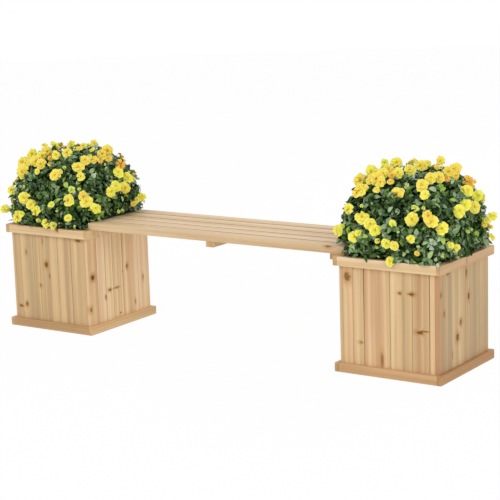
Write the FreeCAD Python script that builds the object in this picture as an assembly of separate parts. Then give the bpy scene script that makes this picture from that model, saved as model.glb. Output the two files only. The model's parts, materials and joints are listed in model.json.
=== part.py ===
import FreeCAD, Part

import math
import os

# A garden bench whose two ends are planted boxes. All sizes are in millimetres.
# X runs along the bench, Y from front to back, Z up. The origin is on the ground under its middle.

# Overall sizes
BENCH_LENGTH = 1760.0
PLANTER_WIDTH = 380.0
PLANTER_DEPTH = 380.0
SEAT_HEIGHT = 400.0

# Trim strips round the foot and the rim of each planter
TRIM_HEIGHT = 30.0
TRIM_THICKNESS = 15.0
TRIM_EDGE_RADIUS = 2.0
LARGEST_EDGE_SHARE = 0.4

# Upright wall boards
BOARD_THICKNESS = 12.0
BOARD_GAP = 0.6

# Relative widths of the boards in each wall, from left to right as seen from outside
BOARD_WIDTHS = {
    "left": {
        "front": (26, 35, 19, 20),
        "right": (14, 13, 12, 16, 26, 19),
        "back": (22, 30, 18, 30),
        "left": (20, 27, 12, 24, 17),
    },
    "right": {
        "front": (11, 12, 29, 24, 18, 6),
        "right": (14, 39, 28, 19),
        "back": (18, 31, 14, 37),
        "left": (24, 16, 31, 29),
    },
}

# Framing inside a planter
POST_SIZE = 20.0
POST_TOP_CLEARANCE = 5.0
BEARER_THICKNESS = 20.0
BEARER_HEIGHT = 20.0
BEARER_GROUND_CLEARANCE = 5.0
FLOOR_THICKNESS = 12.0
FLOOR_SLAT_COUNT = 5
FLOOR_SLAT_GAP = 7.0
FLOOR_CLEARANCE = 1.0

# Seat
SEAT_WIDTH = 310.0
SLAT_COUNT = 5
SLAT_GAP = 7.5
SLAT_THICKNESS = 24.0
SLAT_EDGE_RADIUS = 2.5
SEAT_BEARING = 22.0
BATTEN_WIDTH = 32.0
BATTEN_HEIGHT = 20.0
BATTEN_SET_BACK = 2.0
BATTEN_EDGE_RADIUS = 1.0

# Countersunk wood screws
SCREW_RADIUS = 1.75
SCREW_HEAD_RADIUS = 3.5
SCREW_HEAD_DEPTH = 2.2
SCREW_HOLE_CLEARANCE = 0.1
SCREW_COVER = 3.0
SCREW_ROW_OFFSET = 5.0
POST_SCREW_LEVELS = (0.25, 0.75)

# Plant tub and its soil
TUB_CLEARANCE = 8.0
TUB_POST_CLEARANCE = 6.0
TUB_WALL = 3.0
TUB_RIM_DROP = 24.0
TUB_LIP_HEIGHT = 10.0
TUB_LIP_DEPTH = 2.0
TUB_DRAIN_RADIUS = 5.0
TUB_DRAIN_SPACING = 120.0
SOIL_CLEARANCE = 0.3
LARGEST_CORNER_SHARE = 0.98

# Leafy dome of each plant
LEAF_INSET = 4.0
LEAF_CLEARANCE = 2.0
LEAF_SKIRT_INSET = 8.0
LEAF_SKIRT_RISE = 4.0
LEAF_OVERHANG = 22.0
LEAF_RISE = 262.0
LEAF_WIDEST_HEIGHT = 74.0
LEAF_TOP_RADIUS = 70.0
LEAF_CORNER_RADIUS = 150.0
FLARE_BANDS = 4
DOME_BANDS = 8

# Flower heads
FLOWER_PETALS = 5
PETAL_RADIUS = 8.0
PETAL_REACH = 8.5
PETAL_THICKNESS = 2.5
FLOWER_HEART_RADIUS = 5.0
FLOWER_HEART_HEIGHT = 5.0
FLOWER_SEAT_GAP = 0.2
FLOWER_DRAW_IN = 0.98

# Where the flowers show from the front right: across and up from the middle of the rim
FLOWER_VIEW_AZIMUTH = 34.0
FLOWER_VIEW_ELEVATION = 11.0
FLOWER_SPOTS = (
    (-165, 190), (-45, 180), (-205, 135), (-160, 110), (-140, 80), (-115, 50),
    (-185, 50), (-235, 75), (-85, 20), (-40, 15), (-5, 95), (50, 112),
    (50, 70), (92, 60), (-10, 38), (-65, 85), (5, 138), (125, 10),
    (25, 200), (45, 165), (60, 232), (100, 222), (130, 248), (178, 210),
    (165, 172), (210, 160), (152, 138), (198, 122), (135, 98), (232, 95),
    (238, 40), (88, 272), (48, 270), (8, 275), (25, 250), (-15, 240),
    (-45, 272), (-85, 270), (-80, 235), (-122, 250), (-160, 225), (-125, 205),
)

# Which way each planter lies from the middle of the bench
SIDES = {"left": -1, "right": 1}

# Sizes that follow from the ones above
RIM_HEIGHT = SEAT_HEIGHT - SLAT_THICKNESS
PLANTER_OFFSET = (BENCH_LENGTH - PLANTER_WIDTH) / 2
BODY_HALF_X = PLANTER_WIDTH / 2 - TRIM_THICKNESS
BODY_HALF_Y = PLANTER_DEPTH / 2 - TRIM_THICKNESS
INNER_HALF_X = BODY_HALF_X - BOARD_THICKNESS
INNER_HALF_Y = BODY_HALF_Y - BOARD_THICKNESS
FLOOR_BOTTOM = BEARER_GROUND_CLEARANCE + BEARER_HEIGHT
FLOOR_TOP = FLOOR_BOTTOM + FLOOR_THICKNESS
TUB_TOP = RIM_HEIGHT - TUB_RIM_DROP
TUB_HALF_X = INNER_HALF_X - TUB_CLEARANCE
TUB_HALF_Y = INNER_HALF_Y - TUB_CLEARANCE
SLAT_WIDTH = (SEAT_WIDTH - (SLAT_COUNT - 1) * SLAT_GAP) / SLAT_COUNT
SLAT_HALF_LENGTH = BENCH_LENGTH / 2 - PLANTER_WIDTH + SEAT_BEARING
BATTEN_BOTTOM = RIM_HEIGHT - BATTEN_HEIGHT


def box(x_span, y_span, z_span):
    """A block between a low and a high value along each axis."""
    low = FreeCAD.Vector(x_span[0], y_span[0], z_span[0])
    return Part.makeBox(
        x_span[1] - x_span[0], y_span[1] - y_span[0], z_span[1] - z_span[0], low
    )


def eased(block, radius):
    """The block with all its edges rounded over, as far as its thickness allows."""
    thinnest = min(block.BoundBox.XLength, block.BoundBox.YLength, block.BoundBox.ZLength)
    return block.makeFillet(min(radius, LARGEST_EDGE_SHARE * thinnest), block.Edges)


def screw_form(head, direction, length, growth):
    """A countersunk screw from its head's centre along a direction, its radii and ends grown alike."""
    start = FreeCAD.Vector(*head)
    along = FreeCAD.Vector(*direction)
    shank_radius = SCREW_RADIUS + growth
    cone = Part.makeCone(
        SCREW_HEAD_RADIUS + growth, shank_radius, SCREW_HEAD_DEPTH, start, along
    )
    shank_start = start + along * SCREW_HEAD_DEPTH
    shank = Part.makeCylinder(
        shank_radius, length + growth - SCREW_HEAD_DEPTH, shank_start, along
    )
    return cone.fuse(shank).removeSplitter()


def screw(head, direction, length):
    """One screw as a pair: its solid, and the hole that it needs."""
    return (
        screw_form(head, direction, length, 0.0),
        screw_form(head, direction, length, SCREW_HOLE_CLEARANCE),
    )


def drilled(solids, screws):
    """The solids with a hole for each screw that reaches them."""
    result = []
    for solid in solids:
        tools = [hole for _, hole in screws if hole.BoundBox.intersect(solid.BoundBox)]
        result.append(solid.cut(tools) if tools else solid)
    return result


def moved(shapes, offset_x):
    """Copies of the shapes moved along the bench."""
    copies = []
    for shape in shapes:
        copy = shape.copy()
        copy.translate(FreeCAD.Vector(offset_x, 0, 0))
        copies.append(copy)
    return copies


# A planter is modelled about its own middle and then moved along the bench


def wall_layout(wall):
    """Along-axis, outward sign, half length and outer face of a wall.

    Side walls run the full depth and cover the ends of the front and back walls.
    """
    layouts = {
        "front": ("x", -1, INNER_HALF_X, BODY_HALF_Y),
        "right": ("y", 1, BODY_HALF_Y, BODY_HALF_X),
        "back": ("x", 1, INNER_HALF_X, BODY_HALF_Y),
        "left": ("y", -1, BODY_HALF_Y, BODY_HALF_X),
    }
    return layouts[wall]


def board_spans(wall, widths):
    """Low and high ends of each board along its wall, from left to right as seen from outside."""
    _, _, half_length, _ = wall_layout(wall)
    clear = 2 * half_length - (len(widths) - 1) * BOARD_GAP
    spans = []
    start = -half_length
    for width in widths:
        end = start + clear * width / sum(widths)
        spans.append((start, end))
        start = end + BOARD_GAP
    if wall in ("back", "left"):
        spans = [(-end, -start) for start, end in spans]
    return spans


def wall_boards(wall, widths):
    """The upright boards of one wall."""
    axis, outward, _, outer = wall_layout(wall)
    thickness = sorted((outward * outer, outward * (outer - BOARD_THICKNESS)))
    height = (0, RIM_HEIGHT)
    boards = []
    for span in board_spans(wall, widths):
        if axis == "x":
            boards.append(box(span, thickness, height))
        else:
            boards.append(box(thickness, span, height))
    return boards


def trim_strip(wall, bottom):
    """One trim strip round the outside of a wall, with its bottom at that height."""
    axis, outward, _, outer = wall_layout(wall)
    thickness = sorted((outward * outer, outward * (outer + TRIM_THICKNESS)))
    height = (bottom, bottom + TRIM_HEIGHT)
    if axis == "x":
        strip = box((-BODY_HALF_X, BODY_HALF_X), thickness, height)
    else:
        full = PLANTER_DEPTH / 2
        strip = box(thickness, (-full, full), height)
    return eased(strip, TRIM_EDGE_RADIUS)


def corner_posts():
    """Four posts in the inner corners."""
    top = RIM_HEIGHT - TRIM_HEIGHT - POST_TOP_CLEARANCE
    posts = []
    for sign_x in (-1, 1):
        for sign_y in (-1, 1):
            across = sorted((sign_x * INNER_HALF_X, sign_x * (INNER_HALF_X - POST_SIZE)))
            deep = sorted((sign_y * INNER_HALF_Y, sign_y * (INNER_HALF_Y - POST_SIZE)))
            posts.append(box(across, deep, (0, top)))
    return posts


def floor_bearers():
    """Four rails between the posts, which carry the floor and stiffen the foot of the walls."""
    height = (BEARER_GROUND_CLEARANCE, FLOOR_BOTTOM)
    half_x = INNER_HALF_X - POST_SIZE
    half_y = INNER_HALF_Y - POST_SIZE
    rails = []
    for sign in (-1, 1):
        deep = sorted((sign * INNER_HALF_Y, sign * (INNER_HALF_Y - BEARER_THICKNESS)))
        rails.append(box((-half_x, half_x), deep, height))
        across = sorted((sign * INNER_HALF_X, sign * (INNER_HALF_X - BEARER_THICKNESS)))
        side_half = min(half_y, INNER_HALF_Y - BEARER_THICKNESS)
        rails.append(box(across, (-side_half, side_half), height))
    return rails


def floor_slat_spans():
    """Low and high x of each floor slat, between the posts."""
    half = INNER_HALF_X - POST_SIZE - FLOOR_CLEARANCE
    width = (2 * half - (FLOOR_SLAT_COUNT - 1) * FLOOR_SLAT_GAP) / FLOOR_SLAT_COUNT
    starts = [-half + index * (width + FLOOR_SLAT_GAP) for index in range(FLOOR_SLAT_COUNT)]
    return [(start, start + width) for start in starts]


def floor_slats():
    """Slats from front to back on the bearers, with gaps that drain."""
    half_y = INNER_HALF_Y - FLOOR_CLEARANCE
    height = (FLOOR_BOTTOM, FLOOR_TOP)
    return [box(span, (-half_y, half_y), height) for span in floor_slat_spans()]


def wall_point(wall, along, inward, height):
    """A point at a place along a wall and a distance inward from its outer face."""
    axis, outward, _, outer = wall_layout(wall)
    across = outward * (outer - inward)
    return (along, across, height) if axis == "x" else (across, along, height)


def wall_outward(wall):
    """The direction that a wall faces."""
    axis, outward, _, _ = wall_layout(wall)
    return (0, outward, 0) if axis == "x" else (outward, 0, 0)


def wall_screws(wall, widths):
    """Screws from inside: each board to the rim strip, and through the bearer to the foot strip."""
    axis, _, _, _ = wall_layout(wall)
    bearer_half = (INNER_HALF_X if axis == "x" else INNER_HALF_Y) - POST_SIZE
    reach = bearer_half - 2 * SCREW_HEAD_RADIUS
    rim_level = RIM_HEIGHT - TRIM_HEIGHT / 2 - SCREW_ROW_OFFSET
    foot_level = BEARER_GROUND_CLEARANCE + BEARER_HEIGHT / 2
    outward = wall_outward(wall)
    rim_length = BOARD_THICKNESS + TRIM_THICKNESS - SCREW_COVER
    foot_length = rim_length + BEARER_THICKNESS
    screws = []
    for low, high in board_spans(wall, widths):
        middle = (low + high) / 2
        rim_head = wall_point(wall, middle, BOARD_THICKNESS, rim_level)
        screws.append(screw(rim_head, outward, rim_length))
        if abs(middle) < reach:
            inward = BOARD_THICKNESS + BEARER_THICKNESS
            foot_head = wall_point(wall, middle, inward, foot_level)
            screws.append(screw(foot_head, outward, foot_length))
    return screws


def post_screws():
    """Screws from inside through each corner post into both walls, at two levels."""
    length = POST_SIZE + BOARD_THICKNESS - SCREW_COVER
    centre_x = INNER_HALF_X - POST_SIZE / 2
    centre_y = INNER_HALF_Y - POST_SIZE / 2
    face_x = INNER_HALF_X - POST_SIZE
    face_y = INNER_HALF_Y - POST_SIZE
    spacing = 2 * SCREW_HEAD_RADIUS + SCREW_ROW_OFFSET
    screws = []
    for level in [share * RIM_HEIGHT for share in POST_SCREW_LEVELS]:
        for sign_x in (-1, 1):
            for sign_y in (-1, 1):
                to_side = (sign_x * face_x, sign_y * centre_y, level)
                screws.append(screw(to_side, (sign_x, 0, 0), length))
                to_face = (sign_x * centre_x, sign_y * face_y, level + spacing)
                screws.append(screw(to_face, (0, sign_y, 0), length))
    return screws


def floor_screws():
    """Screws down through each floor slat into the front and back bearers, above the wall screws."""
    bite = BEARER_HEIGHT / 2 - SCREW_RADIUS - SCREW_COVER / 2
    centre_y = INNER_HALF_Y - BEARER_THICKNESS / 2
    screws = []
    for low, high in floor_slat_spans():
        for sign in (-1, 1):
            head = ((low + high) / 2, sign * centre_y, FLOOR_TOP)
            screws.append(screw(head, (0, 0, -1), FLOOR_THICKNESS + bite))
    return screws


def planter_nodes(side, widths_by_wall, seat_screws):
    """All pieces of one planter in place, as node name to solids."""
    offset = SIDES[side] * PLANTER_OFFSET
    screws = post_screws() + floor_screws()
    for wall, widths in widths_by_wall.items():
        screws += wall_screws(wall, widths)
    holes_from_seat = [(None, moved([hole], -offset)[0]) for _, hole in seat_screws]
    drills = screws + holes_from_seat
    nodes = {}
    for wall, widths in widths_by_wall.items():
        nodes[f"{side}_planter_{wall}_boards"] = drilled(wall_boards(wall, widths), drills)
        nodes[f"{side}_planter_foot_trim_{wall}"] = drilled([trim_strip(wall, 0)], drills)
        rim_bottom = RIM_HEIGHT - TRIM_HEIGHT
        nodes[f"{side}_planter_rim_trim_{wall}"] = drilled(
            [trim_strip(wall, rim_bottom)], drills
        )
    nodes[f"{side}_planter_corner_posts"] = drilled(corner_posts(), drills)
    nodes[f"{side}_planter_floor_bearers"] = drilled(floor_bearers(), drills)
    nodes[f"{side}_planter_floor_slats"] = drilled(floor_slats(), drills)
    nodes[f"{side}_planter_screws"] = [solid for solid, _ in screws]
    return {name: moved(solids, offset) for name, solids in nodes.items()}


# The seat lies on both rims


def slat_spans():
    """Low and high y of each seat slat, from front to back."""
    starts = [-SEAT_WIDTH / 2 + index * (SLAT_WIDTH + SLAT_GAP) for index in range(SLAT_COUNT)]
    return [(start, start + SLAT_WIDTH) for start in starts]


def batten_spans():
    """Low and high x of the battens: one against each planter's rim, and one in the middle."""
    end = BENCH_LENGTH / 2 - PLANTER_WIDTH
    return {
        "left": (-end, -end + BATTEN_WIDTH),
        "middle": (-BATTEN_WIDTH / 2, BATTEN_WIDTH / 2),
        "right": (end - BATTEN_WIDTH, end),
    }


def slat_screws():
    """Screws from below through each batten into each slat."""
    length = BATTEN_HEIGHT + SLAT_THICKNESS - 2 * SCREW_COVER
    screws = []
    for x_span in batten_spans().values():
        for y_span in slat_spans():
            head = (sum(x_span) / 2, sum(y_span) / 2, BATTEN_BOTTOM)
            screws.append(screw(head, (0, 0, 1), length))
    return screws


def fixing_screws():
    """Screws from each end batten through the rim strip into the planter's wall."""
    length = BATTEN_WIDTH + TRIM_THICKNESS + BOARD_THICKNESS - SCREW_COVER
    spans = slat_spans()
    between = (spans[0][1] + spans[1][0]) / 2
    level = BATTEN_BOTTOM + BATTEN_HEIGHT / 2
    screws = []
    for side, direction in SIDES.items():
        x_span = batten_spans()[side]
        face = x_span[0] if direction > 0 else x_span[1]
        for y in (between, -between):
            screws.append(screw((face, y, level), (direction, 0, 0), length))
    return screws


def seat_nodes(fixings):
    """The slats, the battens and their screws, as node name to solids."""
    joining = slat_screws()
    nodes = {}
    for index, y_span in enumerate(slat_spans(), start=1):
        slat = box((-SLAT_HALF_LENGTH, SLAT_HALF_LENGTH), y_span, (RIM_HEIGHT, SEAT_HEIGHT))
        nodes[f"seat_slat_{index}"] = drilled([eased(slat, SLAT_EDGE_RADIUS)], joining)
    half_y = SEAT_WIDTH / 2 - BATTEN_SET_BACK
    for place, x_span in batten_spans().items():
        batten = box(x_span, (-half_y, half_y), (BATTEN_BOTTOM, RIM_HEIGHT))
        nodes[f"seat_batten_{place}"] = drilled(
            [eased(batten, BATTEN_EDGE_RADIUS)], joining + fixings
        )
    nodes["seat_slat_screws"] = [solid for solid, _ in joining]
    nodes["seat_fixing_screws"] = [solid for solid, _ in fixings]
    return nodes


# Each planting stands on the floor slats and lifts out


def rounded_outline(half_x, half_y, corner, height):
    """A closed outline with straight sides and quarter-circle corners."""
    corner = min(corner, LARGEST_CORNER_SHARE * min(half_x, half_y))
    near = corner * (1 - math.sqrt(0.5))
    start = (half_x, half_y - corner, height)
    bend = (half_x - near, half_y - near, height)
    finish = (half_x - corner, half_y, height)
    mirrors = ((1, 1), (-1, 1), (-1, -1), (1, -1))
    corners = []
    for index, (sign_x, sign_y) in enumerate(mirrors):
        points = [
            FreeCAD.Vector(sign_x * x, sign_y * y, z) for x, y, z in (start, bend, finish)
        ]
        if index % 2:
            points.reverse()
        corners.append(points)
    edges = []
    for index, points in enumerate(corners):
        following = corners[(index + 1) % len(corners)]
        edges.append(Part.Arc(*points).toShape())
        edges.append(Part.LineSegment(points[2], following[0]).toShape())
    return Part.Wire(edges)


def rounded_prism(half_x, half_y, corner, z_span):
    """An upright prism on a rounded outline."""
    outline = rounded_outline(half_x, half_y, corner, z_span[0])
    return Part.Face(outline).extrude(FreeCAD.Vector(0, 0, z_span[1] - z_span[0]))


def tub_corner():
    """The corner radius that clears the posts on the diagonal."""
    inside_post = TUB_CLEARANCE - POST_SIZE
    diagonal = -math.sqrt(2) * inside_post + TUB_POST_CLEARANCE
    return diagonal / (math.sqrt(2) - 1)


def plant_tub():
    """A thin tub with a lip outside its top edge and drain holes in its bottom."""
    corner = tub_corner()
    bottom = FLOOR_TOP
    outer = rounded_prism(TUB_HALF_X, TUB_HALF_Y, corner, (bottom, TUB_TOP))
    lip = rounded_prism(
        TUB_HALF_X + TUB_LIP_DEPTH,
        TUB_HALF_Y + TUB_LIP_DEPTH,
        corner + TUB_LIP_DEPTH,
        (TUB_TOP - TUB_LIP_HEIGHT, TUB_TOP),
    )
    hollow = rounded_prism(
        TUB_HALF_X - TUB_WALL,
        TUB_HALF_Y - TUB_WALL,
        corner - TUB_WALL,
        (bottom + TUB_WALL, TUB_TOP),
    )
    tub = outer.fuse(lip).removeSplitter().cut(hollow)
    for sign_x in (-1, 1):
        for sign_y in (-1, 1):
            place = FreeCAD.Vector(
                sign_x * TUB_DRAIN_SPACING / 2, sign_y * TUB_DRAIN_SPACING / 2, bottom
            )
            tub = tub.cut(Part.makeCylinder(TUB_DRAIN_RADIUS, TUB_WALL, place))
    return tub


def potting_soil():
    """The block of soil that fills the tub."""
    inset = TUB_WALL + SOIL_CLEARANCE
    return rounded_prism(
        TUB_HALF_X - inset,
        TUB_HALF_Y - inset,
        tub_corner() - inset,
        (FLOOR_TOP + TUB_WALL, TUB_TOP),
    )


def leaf_sections():
    """Half width along x, half width along y, corner radius and height of the dome's outlines.

    The leaves fill the neck of the tub, spread over the rim, bulge past it and close in a dome.
    """
    neck_x = TUB_HALF_X - LEAF_INSET
    neck_y = TUB_HALF_Y - LEAF_INSET
    neck_corner = tub_corner() - LEAF_INSET
    skirt_x = PLANTER_WIDTH / 2 - LEAF_SKIRT_INSET
    skirt_y = PLANTER_DEPTH / 2 - LEAF_SKIRT_INSET
    wide_x = PLANTER_WIDTH / 2 + LEAF_OVERHANG
    wide_y = PLANTER_DEPTH / 2 + LEAF_OVERHANG
    neck_top = RIM_HEIGHT + LEAF_CLEARANCE
    skirt = neck_top + LEAF_SKIRT_RISE
    widest = RIM_HEIGHT + LEAF_WIDEST_HEIGHT
    sections = [
        (neck_x, neck_y, neck_corner, TUB_TOP + SOIL_CLEARANCE),
        (neck_x, neck_y, neck_corner, neck_top),
    ]
    for band in range(FLARE_BANDS + 1):
        angle = math.pi / 2 * band / FLARE_BANDS
        out = math.sin(angle)
        sections.append(
            (
                skirt_x + (wide_x - skirt_x) * out,
                skirt_y + (wide_y - skirt_y) * out,
                neck_corner + (LEAF_CORNER_RADIUS - neck_corner) * out,
                skirt + (widest - skirt) * (1 - math.cos(angle)),
            )
        )
    roundness = LEAF_CORNER_RADIUS / min(wide_x, wide_y)
    for band in range(1, DOME_BANDS + 1):
        angle = math.pi / 2 * band / DOME_BANDS
        share = math.cos(angle)
        half_x = LEAF_TOP_RADIUS + (wide_x - LEAF_TOP_RADIUS) * share
        half_y = LEAF_TOP_RADIUS + (wide_y - LEAF_TOP_RADIUS) * share
        corner = min(half_x, half_y) * (roundness + (1 - roundness) * (1 - share))
        height = widest + (LEAF_RISE - LEAF_WIDEST_HEIGHT) * math.sin(angle)
        sections.append((half_x, half_y, corner, height))
    return sections


def leaf_dome():
    """The whole dome of leaves, before it makes room for the seat."""
    outlines = [rounded_outline(*section) for section in leaf_sections()]
    return Part.makeLoft(outlines, True, True)


def seat_room(side):
    """The space that the leaves leave free for the seat's end, about that planter's middle."""
    toward_seat = -SIDES[side]
    inner_end = PLANTER_WIDTH / 2 - SEAT_BEARING - LEAF_CLEARANCE
    outer_end = PLANTER_WIDTH / 2 + 2 * LEAF_OVERHANG
    half_y = SEAT_WIDTH / 2 + LEAF_CLEARANCE
    x_span = sorted((toward_seat * inner_end, toward_seat * outer_end))
    return box(x_span, (-half_y, half_y), (RIM_HEIGHT, SEAT_HEIGHT + LEAF_CLEARANCE))


def flower_head():
    """A flat five-petalled flower facing up, with its back at the origin."""
    flower = Part.makeCone(FLOWER_HEART_RADIUS, FLOWER_HEART_RADIUS / 2, FLOWER_HEART_HEIGHT)
    for petal in range(FLOWER_PETALS):
        angle = 2 * math.pi * petal / FLOWER_PETALS
        place = FreeCAD.Vector(
            PETAL_REACH * math.cos(angle), PETAL_REACH * math.sin(angle), 0
        )
        flower = flower.fuse(Part.makeCylinder(PETAL_RADIUS, PETAL_THICKNESS, place))
    return flower.removeSplitter()


def spot_on_dome(dome, across, up):
    """Where the eye meets the dome at a spot seen from the front right, and the way out from there.

    A spot beside the dome is drawn in towards the middle of the leaves until it meets them.
    """
    azimuth = math.radians(FLOWER_VIEW_AZIMUTH)
    elevation = math.radians(FLOWER_VIEW_ELEVATION)
    to_eye = FreeCAD.Vector(
        math.sin(azimuth) * math.cos(elevation),
        -math.cos(azimuth) * math.cos(elevation),
        math.sin(elevation),
    )
    across_view = FreeCAD.Vector(math.cos(azimuth), math.sin(azimuth), 0)
    up_view = to_eye.cross(across_view)
    heart = FreeCAD.Vector(0, 0, RIM_HEIGHT + LEAF_WIDEST_HEIGHT)
    spot = FreeCAD.Vector(0, 0, RIM_HEIGHT) + across_view * across + up_view * up
    sight = to_eye * (PLANTER_WIDTH + PLANTER_DEPTH)
    met = []
    while not met:
        met = Part.makeLine(spot + sight, spot - sight).common(dome).Vertexes
        spot = heart + (spot - heart) * FLOWER_DRAW_IN
    nearest = max(met, key=lambda vertex: vertex.Point.dot(to_eye)).Point
    return nearest, (nearest - heart).normalize()


def flower_seat(dome, across, up):
    """The placement that brings a flower down along its own axis until it nearly touches the dome."""
    place, outward = spot_on_dome(dome, across, up)
    blank = Part.makeCylinder(PETAL_REACH + PETAL_RADIUS, PETAL_THICKNESS)
    blank.Placement = FreeCAD.Placement(
        place + outward * (PETAL_REACH + PETAL_RADIUS),
        FreeCAD.Rotation(FreeCAD.Vector(0, 0, 1), outward),
    )
    gap = blank.distToShape(dome)[0]
    while gap > 2 * FLOWER_SEAT_GAP:
        blank.translate(outward * (FLOWER_SEAT_GAP - gap))
        gap = blank.distToShape(dome)[0]
    return blank.Placement


def flower_heads(dome):
    """Flowers at each spot and, turned half way round, at the back, as far as they leave room."""
    half_turn = FreeCAD.Placement(
        FreeCAD.Vector(0, 0, 0), FreeCAD.Rotation(FreeCAD.Vector(0, 0, 1), 180)
    )
    seats = [flower_seat(dome, across, up) for across, up in FLOWER_SPOTS]
    seats += [half_turn * seat for seat in seats]
    spacing = 2 * (PETAL_REACH + PETAL_RADIUS) + FLOWER_SEAT_GAP
    head = flower_head()
    kept = []
    flowers = []
    for seat in seats:
        if all(seat.Base.distanceToPoint(other) > spacing for other in kept):
            kept.append(seat.Base)
            flower = head.copy()
            flower.Placement = seat
            flowers.append(flower)
    return flowers


def planting_nodes():
    """The tub, soil, leaves and flowers of both plantings, as node name to solids."""
    dome = leaf_dome()
    flowers = flower_heads(dome)
    nodes = {}
    for side, direction in SIDES.items():
        offset = direction * PLANTER_OFFSET
        room = seat_room(side)
        clear = [flower for flower in flowers if flower.distToShape(room)[0] > LEAF_CLEARANCE]
        nodes[f"{side}_plant_tub"] = moved([plant_tub()], offset)
        nodes[f"{side}_potting_soil"] = moved([potting_soil()], offset)
        nodes[f"{side}_plant_leaves"] = moved([dome.cut(room)], offset)
        nodes[f"{side}_plant_flowers"] = moved(clear, offset)
    return nodes


def write(nodes):
    """One STEP file for each node."""
    os.makedirs("parts", exist_ok=True)
    for name, solids in nodes.items():
        shape = solids[0] if len(solids) == 1 else Part.makeCompound(solids)
        shape.exportStep(f"parts/{name}.step")


def main():
    fixings = fixing_screws()
    nodes = seat_nodes(fixings)
    for side in SIDES:
        nodes.update(planter_nodes(side, BOARD_WIDTHS[side], fixings))
    nodes.update(planting_nodes())
    write(nodes)


main()
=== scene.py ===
import functools
import json
import math

import bmesh
import bpy
import numpy as np
from mathutils import Matrix, Vector, noise
from mathutils.bvhtree import BVHTree


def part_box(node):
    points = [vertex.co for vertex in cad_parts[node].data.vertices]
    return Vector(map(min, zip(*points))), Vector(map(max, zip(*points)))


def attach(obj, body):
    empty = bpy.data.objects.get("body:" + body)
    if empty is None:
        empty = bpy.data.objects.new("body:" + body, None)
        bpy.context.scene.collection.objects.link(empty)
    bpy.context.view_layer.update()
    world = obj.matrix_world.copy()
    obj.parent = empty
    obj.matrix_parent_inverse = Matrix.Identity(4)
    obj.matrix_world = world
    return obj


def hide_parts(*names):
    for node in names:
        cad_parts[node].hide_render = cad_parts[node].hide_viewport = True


# A garden bench whose two ends are planted boxes, dressed in boards, leaves and flowers.
# All lengths are in metres, in the same frame as the solids.

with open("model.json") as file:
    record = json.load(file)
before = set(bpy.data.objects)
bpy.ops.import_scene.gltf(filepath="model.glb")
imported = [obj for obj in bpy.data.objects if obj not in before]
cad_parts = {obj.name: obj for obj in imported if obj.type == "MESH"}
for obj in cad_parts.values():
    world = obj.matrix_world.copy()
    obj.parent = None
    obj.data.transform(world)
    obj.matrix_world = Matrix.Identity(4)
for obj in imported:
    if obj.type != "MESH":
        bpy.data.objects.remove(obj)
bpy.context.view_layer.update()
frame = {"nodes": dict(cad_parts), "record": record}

# Camera
CAMERA_PLACE = (3.022, -4.379, 1.370)
CAMERA_YAW = -34.08
CAMERA_PITCH = -11.19
CAMERA_ROLL = -1.79
CAMERA_LENS = 113.8
SENSOR_WIDTH = 36.0

# Lights, with the place and power of each
SKY_STRENGTH = 0.62
LIGHTS = {
    "key_light": ((-1.0, -4.6, 3.8), 88.0),
    "fill_light": ((4.2, -2.2, 1.5), 44.0),
    "back_light": ((0.8, 4.6, 3.0), 60.0),
}
LIGHT_SIZE = 3.0
LIGHT_AIM = (0.0, 0.0, 0.3)
FLOOR_RADIUS = 14.0
FLOOR_CORNERS = 96
FLOOR_DROP = 0.0002
FLOOR_GLOW = 0.97

# Boards: how much their edges are rounded, then their growth rings, grain and knots
BOARD_EDGE = 0.0009
STRIP_EDGE = 0.0022
SLAT_EDGE = 0.0016
INNER_EDGE = 0.0006
RINGS_PER_METRE = 80.0
RING_CROWDING = 5.0
RING_WANDER = 0.05
RING_WAVER = 0.004
RING_RISE = (0.2, 0.85)
RING_FALL = (1.0, 0.88)
RING_STRENGTH = (0.3, 0.7)
PITH_ACROSS = (-0.06, 0.06)
PITH_THROUGH = (0.03, 0.09)
GRAIN_SHIFT = 40
GRAIN_SWAY = 0.012
STREAKS = (0.62, 0.72)
KNOTS_PER_BOARD = 4
KNOT_WOBBLE = 1.1
KNOT_PUSH_FALL = 0.2
FAINTEST_KNOT = 0.01
KNOT_OVERHANG = 0.003
END_FACE = 0.9
FLAT_FACE = 0.99
# How strongly painted shade darkens the sides of seat slats in the gaps between them
GAP_SHADE = 0.6
FOOT_TAN = 0.6

# Noise in the wood: waves in a metre across, along and through a board
GRAIN_NOISE = {
    "sway": (4, 2.2, 4), "broad": (42, 0.4, 42), "narrow": (190, 0.9, 190), "blush": (34, 0.6, 20),
    "cloud": (9, 3.0, 9), "fibre": (800, 9, 800), "streak": (240, 1.6, 240),
    "wander": (5, 1.0, 5), "waver": (25, 3.5, 25), "crowding": (30, 0.5, 30),
    "late": (45, 0.8, 45), "knots": (150, 150, 150),
}

# How far each noise darkens the wood, the part of the shades that boards use, and shares of colour
SHADE_SHARES = {"broad": 2.1, "narrow": 0.45, "cloud": 0.45, "fibre": 0.34}
SHADE_SPAN = 0.8
SHADE_START = 0.2
BLUSH_SHARE = 2.2
STREAK_SHARE = 0.45
HALO_SHARE = 0.75
END_SHARE = 0.45
SEAM_SHARE = 0.6

# Where a knot's core and halo end and where they are full, in half sizes of the knot
KNOT_CORE = (1.35, 0.75)
KNOT_HALO = (3.2, 0.9)
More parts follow.
